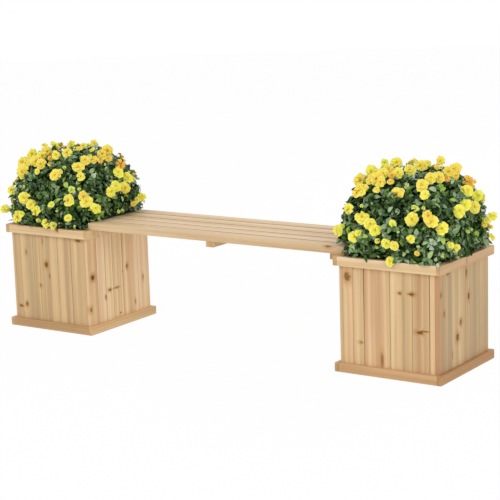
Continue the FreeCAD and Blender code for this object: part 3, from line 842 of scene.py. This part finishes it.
def board_look(node, index):
    """Tone, and warmth at both edges, of one board."""
    if node in BOARD_LOOKS:
        return BOARD_LOOKS[node][index]
    tone = np.clip(luck.normal(*HIDDEN_TONE), *HIDDEN_TONE_RANGE)
    return (tone, *luck.uniform(*HIDDEN_WARMTH, 2))


def board_knots(node, low, high, axes):
    """All the knots of one board, made up to the full number with ones that do not show."""
    if node in KNOTS:
        found = known_knots(node, low, high, axes)
    elif any(kind in node for kind in PLAIN_FACES):
        found = []
    else:
        found = chance_knots((high - low)[axes])
    none = ((0, 0, 0), (1, 1, 1))
    return (found + [none] * KNOTS_PER_BOARD)[:KNOTS_PER_BOARD]


def opened_seam(node, index, points):
    """The board's points with its near edge drawn back where its seam stands open."""
    foot, top = OPEN_SEAMS.get(node, {}).get(index, (0.0, 0.0))
    axis = 0 if "front" in node else 1
    share = (points[:, 2] - points[:, 2].min()) / np.ptp(points[:, 2])
    near = points[:, axis] < points[:, axis].mean()
    moved = points.copy()
    moved[:, axis] += near * (foot + (top - foot) * share)
    return moved


def gap_shade_share(node, way):
    """How much painted shade a face of a seat slat takes, as far as it looks into the gap beside the
    slat.
    """
    front = node == "seat_slat_1" and way[1] < 0
    back = node == "seat_slat_5" and way[1] > 0
    if "seat_slat_" not in node or front or back:
        return 0.0
    return abs(way[1])


def face_looks(node, points, faces, local, axes, half, warmth):
    """For each corner of each face: end grain, seam, warmth, then painted gap shade and depth below
    the top.
    """
    warm_low, warm_high = warmth
    board_seam = luck.uniform(0, 1) if node.endswith("boards") else 0.0
    plain = FOOT_TAN if "foot_trim" in node else 0.0
    shows = []
    gaps = []
    for face in faces:
        way = unit(np.cross(points[face[1]] - points[face[0]], points[face[2]] - points[face[0]]))
        ends = 1.0 if abs(way[axes[1]]) > END_FACE else plain
        seam = board_seam if np.abs(way).max() < FLAT_FACE else 0.0
        for index in face:
            across, _, through = local[index]
            share = 0.5 + 0.5 * across / half[0]
            shows.append((ends, seam, warm_low + (warm_high - warm_low) * share))
            depth = half[2] - through if "seat_slat_" in node else 0.0
            gaps.append((gap_shade_share(node, way), depth, 0))
    return shows, gaps


def dressed_board(node, index, group, rounding):
    """One rounded board: the corners of each face by themselves, its faces and its grain."""
    low, high = group.min(axis=0), group.max(axis=0)
    axes = grain_axes(low, high)
    points, faces = rounded_block(low, high, rounding)
    points = opened_seam(node, index, points)
    local = (points - (low + high) / 2)[:, axes]
    half = ((high - low) / 2)[axes]
    tone, *warmth = board_look(node, index)
    shows, gaps = face_looks(node, points, faces, local, axes, half, warmth)
    order = [corner for face in faces for corner in face]
    grain = {
        "grain_place": local[order],
        "grain_face": shows,
        "grain_gap_shade_and_depth": gaps,
        "grain_pith": (luck.uniform(*PITH_ACROSS), luck.uniform(*PITH_THROUGH), tone),
        "grain_shift": luck.uniform(0, GRAIN_SHIFT, 3),
    }
    for number, (place, size) in enumerate(board_knots(node, low, high, axes)):
        grain[f"knot_place_{number}"] = place
        grain[f"knot_size_{number}"] = size
    return points[order], faces, grain


def dressed_boards(node, material, rounding):
    """Boards with rounded edges where a node's solids are, each with its own grain and knots."""
    all_points = []
    all_faces = []
    values = {}
    start = 0
    groups = sorted(islands(node), key=lambda group: tuple(np.round(group.mean(axis=0), 4)))
    for index, group in enumerate(groups):
        points, faces, grain = dressed_board(node, index, group, rounding)
        all_points.append(points)
        for face in faces:
            all_faces.append(tuple(range(start, start + len(face))))
            start += len(face)
        for name, rows in grain.items():
            values.setdefault(name, []).append(np.broadcast_to(rows, (len(points), 3)))
    attributes = {name: np.concatenate(blocks) for name, blocks in values.items()}
    points = np.concatenate(all_points)
    boards = new_object(f"{node}_dressed", points, all_faces, material, attributes, False)
    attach(boards, "bench")
    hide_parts(node)
    return boards


def surface_samples(node, count):
    """Random points on a CAD node's surface, with the way out at each."""
    mesh = frame["nodes"][node].data
    mesh.calc_loop_triangles()
    corners = np.array(
        [[mesh.vertices[i].co[:] for i in tri.vertices] for tri in mesh.loop_triangles]
    )
    edges_a = corners[:, 1] - corners[:, 0]
    edges_b = corners[:, 2] - corners[:, 0]
    normals = np.cross(edges_a, edges_b)
    areas = np.linalg.norm(normals, axis=1)
    normals = normals / np.maximum(areas, 1e-12)[:, None]
    chosen = luck.choice(len(areas), size=count, p=areas / areas.sum())
    first = luck.uniform(size=count)
    second = luck.uniform(size=count)
    over = first + second > 1
    first[over], second[over] = 1 - first[over], 1 - second[over]
    inward = first[:, None] * edges_a[chosen] + second[:, None] * edges_b[chosen]
    return corners[chosen, 0] + inward, normals[chosen]


def unit(vectors):
    """Vectors made one long."""
    return vectors / np.maximum(np.linalg.norm(vectors, axis=-1, keepdims=True), 1e-9)


def turned(ways, amount):
    """Directions, each turned a little at random."""
    return unit(ways + luck.normal(size=ways.shape) * amount)


def square_to(ways):
    """A random direction square to each of the given ones."""
    return unit(np.cross(ways, luck.normal(size=ways.shape)))


def joined(pieces):
    """The points, faces and values of several pieces as those of one."""
    clouds, faces, values = zip(*pieces)
    starts = np.cumsum([0] + [len(cloud) for cloud in clouds])
    faces = [block + start for block, start in zip(faces, starts)]
    return np.concatenate(clouds), np.concatenate(faces), np.concatenate(values)


def grid_faces(rows, columns):
    """The faces of a grid of points, row by row."""
    corners = [row * columns + column for row in range(rows - 1) for column in range(columns - 1)]
    return np.array([(here, here + columns, here + columns + 1, here + 1) for here in corners])


def leaf_template():
    """A leaf one long: its points, its faces, and each point's place across and along it."""
    stations = (0.0, 0.2, 0.48, 0.78, 1.0)
    half_widths = (0.04, 0.24, 0.33, 0.22, 0.02)
    points = []
    places = []
    for along, half_width in zip(stations, half_widths):
        for side in (-1, 0, 1):
            fold = 0.28 * half_width * abs(side)
            droop = -0.30 * along * along
            points.append((along, side * half_width, fold + droop))
            places.append((side, along))
    return np.array(points), grid_faces(len(stations), 3), np.array(places)


def in_box(points, low, high, margin=0.0):
    """Whether each point lies in a box grown by a margin."""
    low = np.array(low) - margin
    high = np.array(high) + margin
    return np.all((points > low) & (points < high), axis=-1)


def in_the_way(side, points, margin=WOOD_ROOM):
    """Whether each point lies in the seat, in the planter's walls or in its rim."""
    nodes = [f"seat_slat_{index}" for index in range(1, 6)]
    for wall in ("front", "right", "back", "left"):
        nodes += [f"{side}_planter_{wall}_boards", f"{side}_planter_rim_trim_{wall}"]
    blocked = np.zeros(points.shape[:-1], dtype=bool)
    for node in nodes:
        blocked |= in_box(points, *box(node), margin)
    return blocked


def planter_middle(side):
    """The middle of a planter, at the height of its rim."""
    low, high = box(f"{side}_planter_floor_slats")
    rim = box(f"{side}_planter_rim_trim_front")[1][2]
    return np.array([(low[0] + high[0]) / 2, (low[1] + high[1]) / 2, rim])


def shaped(side, points):
    """Points of the solid dome moved to where the leaves end, a little inside it."""
    middle = planter_middle(side)
    above = np.clip((points[..., 2:] - middle[2]) / RIM_BLEND, 0, 1)
    share = 1 + (np.array(DOME_SHARE[side]) - 1) * above
    return middle + (points - middle) * share + np.array(DOME_SHIFT[side]) * above


def lumpy(side, points, normals):
    """The points moved in and out, so that the dome is uneven but still meets the rim."""
    lumps = np.array([noise.noise(Vector(point) * LUMP_FREQUENCY) for point in points])
    above = np.clip((points[:, 2] - planter_middle(side)[2]) / RIM_BLEND, 0, 1)
    proud = (lumps * LEAF_LUMPS - LEAF_INSET) * above + LEAF_OVERLAP * (1 - above)
    return shaped(side, points + normals * proud[:, None])


def dome_samples(side, count):
    """Random points on the part of the dome above the rim, without the seat's room beside it."""
    rim = planter_middle(side)[2]
    low, high = box("seat_slat_1")[0], box("seat_slat_5")[1]
    points, normals = surface_samples(f"{side}_plant_leaves", count * 2)
    by_seat = in_box(points, low, high, SEAT_ROOM) & (np.abs(normals[:, 2]) < 0.1)
    ceiling = in_box(points, low, high, SEAT_CEILING) & (normals[:, 2] < -0.9)
    fit = (points[:, 2] > rim + RIM_ROOM) & (normals[:, 2] > -0.95) & ~by_seat & ~ceiling
    return points[fit][:count], normals[fit][:count]


def outer_leaves(side):
    """Root, direction, facing and tone of leaves through the outer layer of the dome."""
    points, normals = dome_samples(side, LEAF_COUNT)
    count = len(points)
    depth = luck.uniform(0, 1, count) ** LEAF_DEPTH_POWER
    roots = lumpy(side, points, normals) - normals * (depth * LEAF_DEPTH)[:, None]
    tangent = square_to(normals)
    rise = luck.uniform(-0.1, 1.0, count)[:, None]
    forward = unit(tangent + normals * rise - UP * 0.15)
    facing = turned(normals * 0.8 + UP * 0.4, 0.85)
    # Deeper leaves get darker tones: painted shade
    tone = luck.beta(*OUTER_TONE, count) * (1 - DEEP_SHADE * depth)
    tone[luck.uniform(size=count) < YOUNG_SHARE] = 1.0
    return roots, forward, facing, tone


def sprig_leaves(side):
    """Leaves round the tips of shoots that stand out of the dome."""
    points, normals = dome_samples(side, SPRIG_COUNT)
    reach = luck.uniform(*SPRIG_REACH, len(points))
    shoots = turned(normals + UP * 0.5, 0.3)
    tips = lumpy(side, points, normals) + shoots * reach[:, None]
    tips = np.repeat(tips, SPRIG_LEAVES, axis=0)
    shoots = np.repeat(shoots, SPRIG_LEAVES, axis=0)
    count = len(tips)
    ring = square_to(shoots)
    roots = tips - shoots * luck.uniform(0, SPRIG_LENGTH, count)[:, None]
    forward = unit(ring + shoots * luck.uniform(0.1, 1.2, count)[:, None])
    facing = turned(shoots * 0.7, 0.3)
    tone = luck.beta(*SPRIG_TONE, count)
    tone[luck.uniform(size=count) < YOUNG_TIP_SHARE] = 1.0
    return roots, forward, facing, tone


def collar_leaves(side):
    """Leaves that spread from the foot of the dome over the inner edge of the rim."""
    middle = planter_middle(side)
    inner = middle[0] - box(f"{side}_planter_left_boards")[1][0]
    middle = middle + np.array(DOME_SHIFT[side])
    count = COLLAR_COUNT
    quarter = luck.randint(4, size=count) * math.pi / 2
    outward = np.column_stack([np.cos(quarter), np.sin(quarter), np.zeros(count)])
    sideways = np.column_stack([-np.sin(quarter), np.cos(quarter), np.zeros(count)])
    along = luck.uniform(-1, 1, count)[:, None] * inner
    back = (inner - luck.uniform(0, COLLAR_DEPTH, count))[:, None]
    roots = middle + outward * back + sideways * along
    roots[:, 2] += luck.uniform(*COLLAR_HEIGHT, count)
    lean = sideways * luck.normal(size=(count, 1)) * 0.8
    forward = turned(outward + lean, 0.2)
    facing = turned(UP + outward * 0.6, 0.4)
    return roots, forward, facing, luck.beta(*COLLAR_TONE, count)


def hanging_leaves(side):
    """Leaves that hang over the front rim strip."""
    roots = []
    for across, up in HANGING_SPOTS[side]:
        place, _ = over_rim(side, across, up, HANGING_CLEARANCE)
        for _ in range(HANGING_LEAVES):
            roots.append(place + luck.uniform(-1, 1, 3) * HANGING_SPREAD)
    count = len(roots)
    forward = turned(np.tile((0, -0.25, -0.2), (count, 1)), (0.6, 0.1, 0.5))
    facing = turned(np.tile((0.1, -1.0, 0.5), (count, 1)), 0.3)
    return np.array(roots), forward, facing, luck.beta(*HANGING_TONE, count)


def leaves(side, material):
    """Thousands of small leaves, in the outer layer of the dome and round its shoots."""
    batches = (outer_leaves(side), sprig_leaves(side), collar_leaves(side), hanging_leaves(side))
    roots, forward, facing, tone = [np.concatenate(group) for group in zip(*batches)]
    count = len(roots)
    across = unit(np.cross(facing, forward))
    facing = np.cross(forward, across)
    length = luck.uniform(*LEAF_LENGTH, count)
    length[-len(batches[-1][0]):] *= HANGING_SHARE
    width = luck.uniform(*LEAF_WIDTH, count)
    template, faces, places = leaf_template()
    cloud = (
        template[None, :, 0, None] * forward[:, None, :]
        + template[None, :, 1, None] * (across * width[:, None])[:, None, :]
        + template[None, :, 2, None] * facing[:, None, :]
    )
    cloud = cloud * length[:, None, None] + roots[:, None, :]
    keep = ~in_the_way(side, cloud).any(axis=1)
    cloud, tone = cloud[keep], tone[keep]
    count = len(cloud)
    grain = np.column_stack([np.tile(places, (count, 1)), np.repeat(tone, len(places))])
    all_faces = faces[None] + (np.arange(count) * len(template))[:, None, None]
    bunch = new_object(
        f"{side}_plant_leaf_bunch",
        cloud.reshape(-1, 3),
        all_faces.reshape(-1, 4),
        material,
        {"leaf_place": grain},
    )
    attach(bunch, f"planting_{side}")
    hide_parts(f"{side}_plant_leaves")


def leaf_core(side, material):
    """A dark lumpy form inside the leaves, so that no light shows through them."""
    source = frame["nodes"][f"{side}_plant_leaves"].data
    middle = planter_middle(side)
    heart = middle + UP * CORE_HEART
    points = []
    for vertex in source.vertices:
        offset = np.array(vertex.co) - heart
        lump = 1 + CORE_LUMPS * noise.noise(Vector(vertex.co) * CORE_LUMP_FREQUENCY)
        place = heart + offset * LEAF_CORE_SHARE * lump
        if offset[2] < 0:
            place[2] = heart[2] + offset[2] * 0.6
        points.append(place)
    points = shaped(side, np.array(points))
    faces = [tuple(polygon.vertices) for polygon in source.polygons]
    core = new_object(f"{side}_plant_inner_shade", points, faces, material, {})
    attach(core, f"planting_{side}")


def petal_grid(reach, spread, cup, wave, rows=6, columns=7):
    """One petal along +X, ruffled by a wave: points, faces and places. It opens by its spread."""
    points = []
    places = []
    for row in range(rows):
        along = row / (rows - 1)
        for column in range(columns):
            side = -1 + 2 * column / (columns - 1)
            opening = math.radians(spread) * (0.55 + 0.45 * math.sin(math.pi * min(along, 0.5)))
            angle = side * opening
            notch = 0.07 * math.exp(-((side / 0.22) ** 2)) * along
            length = reach * along * (1 - 0.22 * abs(side) ** 2.5 - notch)
            ruffle = 0.14 * math.sin(side * 5.5 + wave) * along**2
            rise = cup * math.sin(along * 1.9) - 0.16 * along**3 + 0.10 * side * along
            points.append((length * math.cos(angle), length * math.sin(angle), rise + ruffle))
            places.append((side, along))
    return np.array(points), grid_faces(rows, columns), np.array(places)


def flower_template(layers):
    """A flower of about unit radius facing +Z, from layers of petals that all differ a little."""
    grids = []
    for layer, (petals, reach, spread, cup, lift) in enumerate(layers):
        for index in range(petals):
            points, faces, places = petal_grid(
                reach * luck.uniform(0.84, 1.12),
                spread * luck.uniform(0.85, 1.2),
                cup * luck.uniform(0.5, 1.5),
                luck.uniform(0, 2 * math.pi),
            )
            angle = 2 * math.pi * (index + 0.5 * layer) / petals + luck.normal() * 0.12
            turn = np.array(Matrix.Rotation(angle, 3, "Z"))
            rise = lift + luck.uniform(-0.04, 0.06)
            grids.append((points @ turn.T + UP * rise, faces, places))
    return joined(grids)


def flower_seats(side):
    """The middle of each flower solid and the way that it faces."""
    middle = planter_middle(side) + UP * DOME_MIDDLE
    seats = []
    for group in islands(f"{side}_plant_flowers"):
        centre = group.mean(axis=0)
        _, _, axes = np.linalg.svd(group - centre, full_matrices=False)
        normal = axes[2]
        if np.dot(normal, centre - middle) < 0:
            normal = -normal
        seats.append((centre, normal))
    return sorted(seats, key=lambda seat: tuple(np.round(seat[0], 4)))


def pixel_line(side, across, up):
    """A point in the plane of the rim's middle, and the way to the eye, for pixels from there."""
    _, right, upward = camera_axes()
    across_scale, across_shift, up_scale, up_shift = BLOOM_FIT[side]
    across = (across * across_scale + across_shift) * PIXEL
    up = (up * up_scale + up_shift) * PIXEL
    point = planter_middle(side) + np.array(right) * across + np.array(upward) * up
    return point, unit(np.array(CAMERA_PLACE) - point)


def bloom_place(side, tree, across, up):
    """Where a bloom sits on the leaves for its pixels, the way out there and the way to the eye.

    A place beside the leaves is drawn in until it meets them, and the bloom then reaches out.
    """
    heart = planter_middle(side) + UP * DOME_HEART
    wanted, to_eye = pixel_line(side, across, up)
    spot = wanted
    found = None
    while found is None:
        found, normal, _, _ = tree.ray_cast(Vector(spot + to_eye), Vector(-to_eye))
        if found is None:
            spot = heart + (spot - heart) * DRAW_IN
    reach = wanted - spot
    length = np.linalg.norm(reach)
    if length > FLOWER_REACH:
        reach = reach * FLOWER_REACH / length
    return np.array(found) + reach, np.array(normal), to_eye


def over_rim(side, across, up, clearance):
    """A place just in front of the front rim strip for its pixels, and the way to the eye."""
    point, to_eye = pixel_line(side, across, up)
    front = box(f"{side}_planter_rim_trim_front")[0][1] - clearance
    return point + to_eye * (front - point[1]) / to_eye[1], to_eye


def clear_of_wood(side, seats, margin):
    """The blooms whose place isn't in wood, or nearer to it than the margin."""
    return [seat for seat in seats if not in_the_way(side, np.array([seat[0]]), margin)[0]]


def shown_blooms(side):
    """Place, facing, radius, colour and kind of the blooms that the photograph shows."""
    mesh = frame["nodes"][f"{side}_plant_leaves"].data
    points = [vertex.co.copy() for vertex in mesh.vertices]
    tree = BVHTree.FromPolygons(points, [tuple(face.vertices) for face in mesh.polygons])
    listed = [(*spot, "full") for spot in BLOOMS + (RIGHT_BLOOMS if side == "right" else ())]
    listed += [(*spot, BUD_COLOUR, "bud") for spot in BUDS]
    listed.append((*STAR_BLOOM, STAR_COLOUR, "star"))
    seats = []
    for across, up, width, colour, kind in listed:
        place, normal, to_eye = bloom_place(side, tree, across, up)
        facing = turned(FLOWER_OUTWARD * normal + FLOWER_TO_EYE * to_eye, FLOWER_TILT)
        radius = width / 2 * PIXEL * FLOWER_SCALE
        seats.append((place + normal * FLOWER_PROUD, facing, radius, colour, kind))
    seats = clear_of_wood(side, seats, SHOWN_CLEARANCE)
    if side == "right":
        across, up, width, colour = HANGING_BLOOM
        place, facing = over_rim(side, across, up, RIM_CLEARANCE)
        seats.append((place, facing, width / 2 * PIXEL * FLOWER_SCALE, colour, "full"))
    return seats


def hidden_blooms(side):
    """The same for blooms on the far side, which follow the flower solids."""
    _, to_eye = pixel_line(side, 0, 0)
    seats = []
    for place, normal in flower_seats(side):
        if np.dot(normal, to_eye) < TURNED_AWAY:
            place = shaped(side, place)
            facing = turned(normal + UP * 0.3, 0.2)
            radius = luck.uniform(*HIDDEN_FLOWER_RADIUS)
            seats.append((place, facing, radius, luck.uniform(*HIDDEN_COLOUR), "full"))
            if luck.uniform() < PAIR_SHARE:
                place = place + square_to(normal) * PAIR_DISTANCE + normal * PAIR_RISE
                facing = turned(facing, 0.3)
                radius = radius * PAIR_SIZE
                seats.append((place, facing, radius, luck.uniform(*HIDDEN_COLOUR), "full"))
    return clear_of_wood(side, seats, HIDDEN_CLEARANCE)


def flowers(side, material, stalk_look):
    """Ruffled flowers over the leaves, each with its stalk."""
    body = f"planting_{side}"
    middle = planter_middle(side)
    templates = {
        kind: [flower_template(layers) for _ in range(FLOWER_KINDS)]
        for kind, layers in FLOWER_LAYERS.items()
    }
    pieces = []
    stalks = []
    for place, facing, radius, colour, kind in shown_blooms(side) + hidden_blooms(side):
        template, faces, places = templates[kind][luck.randint(FLOWER_KINDS)]
        rotation = Vector((0, 0, 1)).rotation_difference(Vector(facing)).to_matrix()
        spin = Matrix.Rotation(luck.uniform(0, 2 * math.pi), 3, "Z")
        turn = np.array(rotation @ spin)
        scale = radius * np.array([1.0, luck.uniform(0.88, 1.0), luck.uniform(0.7, 1.3)])
        base = place - facing * FLOWER_DEPTH
        grain = np.column_stack([places, np.full(len(places), colour)])
        pieces.append(((template * scale) @ turn.T + base, faces, grain))
        inward = unit(middle + UP * STALK_AIM - base)
        stalks.append((base, base - facing * STALK_BACK + inward * STALK_LENGTH))
    points, faces, grain = joined(pieces)
    blooms = new_object(f"{side}_plant_blooms", points, faces, material, {"petal_place": grain})
    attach(blooms, body)
    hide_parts(f"{side}_plant_flowers")
    stems = tubes(f"{side}_plant_stalks", stalks, STALK_RADIUS, stalk_look)
    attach(stems, body)


def tubes(name, lines, radius, material, steps=4, sides=5):
    """Thin bowed stalks between pairs of points."""
    points = []
    faces = []
    for start, end in lines:
        start, end = np.array(start), np.array(end)
        along = unit(end - start)
        first = unit(np.cross(along, np.array([0.3, 0.5, 0.8])))
        second = np.cross(along, first)
        bow = luck.normal(size=2) * STALK_BOW * np.linalg.norm(end - start)
        offset = len(points)
        for step in range(steps + 1):
            share = step / steps
            arch = math.sin(math.pi * share)
            centre = start + (end - start) * share + (first * bow[0] + second * bow[1]) * arch
            for corner in range(sides):
                angle = 2 * math.pi * corner / sides
                ring = first * math.cos(angle) + second * math.sin(angle)
                points.append(centre + ring * radius)
        for step in range(steps):
            for corner in range(sides):
                here = offset + step * sides + corner
                beside = offset + step * sides + (corner + 1) % sides
                faces.append((here, beside, beside + sides, here + sides))
    return new_object(name, points, faces, material, {})


def edge_radius(node, slot):
    """How much the edges of a node's boards are rounded."""
    if slot == "inner_wood":
        return INNER_EDGE
    if node.endswith("boards"):
        return BOARD_EDGE
    return SLAT_EDGE if "seat_slat" in node else STRIP_EDGE


def dress_wood():
    """Dressed boards for every wooden node."""
    looks = {name: wood(name) for name in WOOD_LOOKS}
    for part in frame["record"]["subparts"]:
        node = part["node"]
        slot = part["material_slot"]
        if slot in looks:
            boards = dressed_boards(node, looks[slot], edge_radius(node, slot))


def dress_rest():
    """Finishes for the screws, tubs and soil, whose solids have their true shapes."""
    looks = {
        "screw_steel": steel_material(),
        "tub_plastic": tub_material(),
        "soil": soil_material(),
    }
    for part in frame["record"]["subparts"]:
        if part["material_slot"] in looks:
            mesh = frame["nodes"][part["node"]].data
            mesh.materials.clear()
            mesh.materials.append(looks[part["material_slot"]])


def dress_plants():
    """Leaves, inner shade and flowers of both plantings."""
    leaf_look = leaf_material()
    core_look = core_material()
    petal_look = petal_material()
    stalk_look = stalk_material()
    for side in ("left", "right"):
        leaves(side, leaf_look)
        leaf_core(side, core_look)
        flowers(side, petal_look, stalk_look)


def seen_directly(nodes):
    """1 for rays from the camera, in gloss and through glass, and 0 for the light itself."""
    path = nodes.new("ShaderNodeLightPath", {}).outputs
    rays = ("Is Camera Ray", "Is Transmission Ray", "Is Glossy Ray")
    return nodes.over("MAXIMUM", [Value(nodes, path[ray]) for ray in rays])


def floor_material():
    """A pale floor that shows white to the camera and still takes the object's shadow."""
    nodes = new_look("floor_white")
    diffuse = nodes.add("ShaderNodeBsdfDiffuse", 0, {"Color": (0.92, 0.92, 0.92, 1.0)})
    white = nodes.add("ShaderNodeEmission", 0, {"Color": (1.0, 1.0, 1.0, 1.0)})
    share = seen_directly(nodes) * FLOOR_GLOW
    return nodes.finish(nodes.add("ShaderNodeMixShader", 0, {0: share, 1: diffuse, 2: white}))


def floor():
    """A large pale floor."""
    ring = [2 * math.pi * index / FLOOR_CORNERS for index in range(FLOOR_CORNERS)]
    points = [
        (FLOOR_RADIUS * math.cos(angle), FLOOR_RADIUS * math.sin(angle), -FLOOR_DROP)
        for angle in ring
    ]
    faces = [tuple(range(FLOOR_CORNERS))]
    ground = new_object("floor", points, faces, floor_material(), {}, False)


def sky():
    """An even pale sky, which shows white to the camera and in gloss."""
    world = bpy.data.worlds.new("sky")
    bpy.context.scene.world = world
    nodes = Nodes(world)
    values = {"Value": seen_directly(nodes), "To Min": SKY_STRENGTH, "To Max": 1.0}
    strength = nodes.add("ShaderNodeMapRange", "Result", values)
    light = nodes.add("ShaderNodeBackground", 0, {"Color": (1, 1, 1, 1), "Strength": strength})
    nodes.finish(light, "ShaderNodeOutputWorld")


def soft_light(name, place, power):
    """A square area light that faces the middle of the bench."""
    data = bpy.data.lights.new(name, "AREA")
    data.energy = power
    data.size = LIGHT_SIZE
    light = bpy.data.objects.new(name, data)
    aim = Vector(LIGHT_AIM) - Vector(place)
    turn = aim.to_track_quat("-Z", "Y").to_matrix().to_4x4()
    light.matrix_world = Matrix.Translation(place) @ turn
    bpy.context.scene.collection.objects.link(light)


def camera_axes():
    """The camera's ways forward, to the right and up."""
    yaw = math.radians(CAMERA_YAW)
    pitch = math.radians(CAMERA_PITCH)
    roll = math.radians(CAMERA_ROLL)
    forward = Vector(
        (math.sin(yaw) * math.cos(pitch), math.cos(yaw) * math.cos(pitch), math.sin(pitch))
    )
    level_right = Vector((math.cos(yaw), -math.sin(yaw), 0))
    level_up = level_right.cross(forward)
    right = level_right * math.cos(roll) + level_up * math.sin(roll)
    upward = level_up * math.cos(roll) - level_right * math.sin(roll)
    return forward, right, upward


def camera():
    """The camera at the photograph's place and angle."""
    forward, right, upward = camera_axes()
    data = bpy.data.cameras.new("camera")
    data.sensor_width = SENSOR_WIDTH
    data.lens = CAMERA_LENS
    eye = bpy.data.objects.new("camera", data)
    turn = Matrix((right, upward, -forward)).transposed().to_4x4()
    eye.matrix_world = Matrix.Translation(CAMERA_PLACE) @ turn
    bpy.context.scene.collection.objects.link(eye)
    bpy.context.scene.camera = eye


def main():
    """Dresses the bench and its plantings, and sets floor, sky, lights and camera."""
    dress_wood()
    dress_rest()
    dress_plants()
    floor()
    sky()
    for name, (place, power) in LIGHTS.items():
        soft_light(name, place, power)
    camera()
    bpy.context.scene.view_settings.view_transform = "Standard"


main()
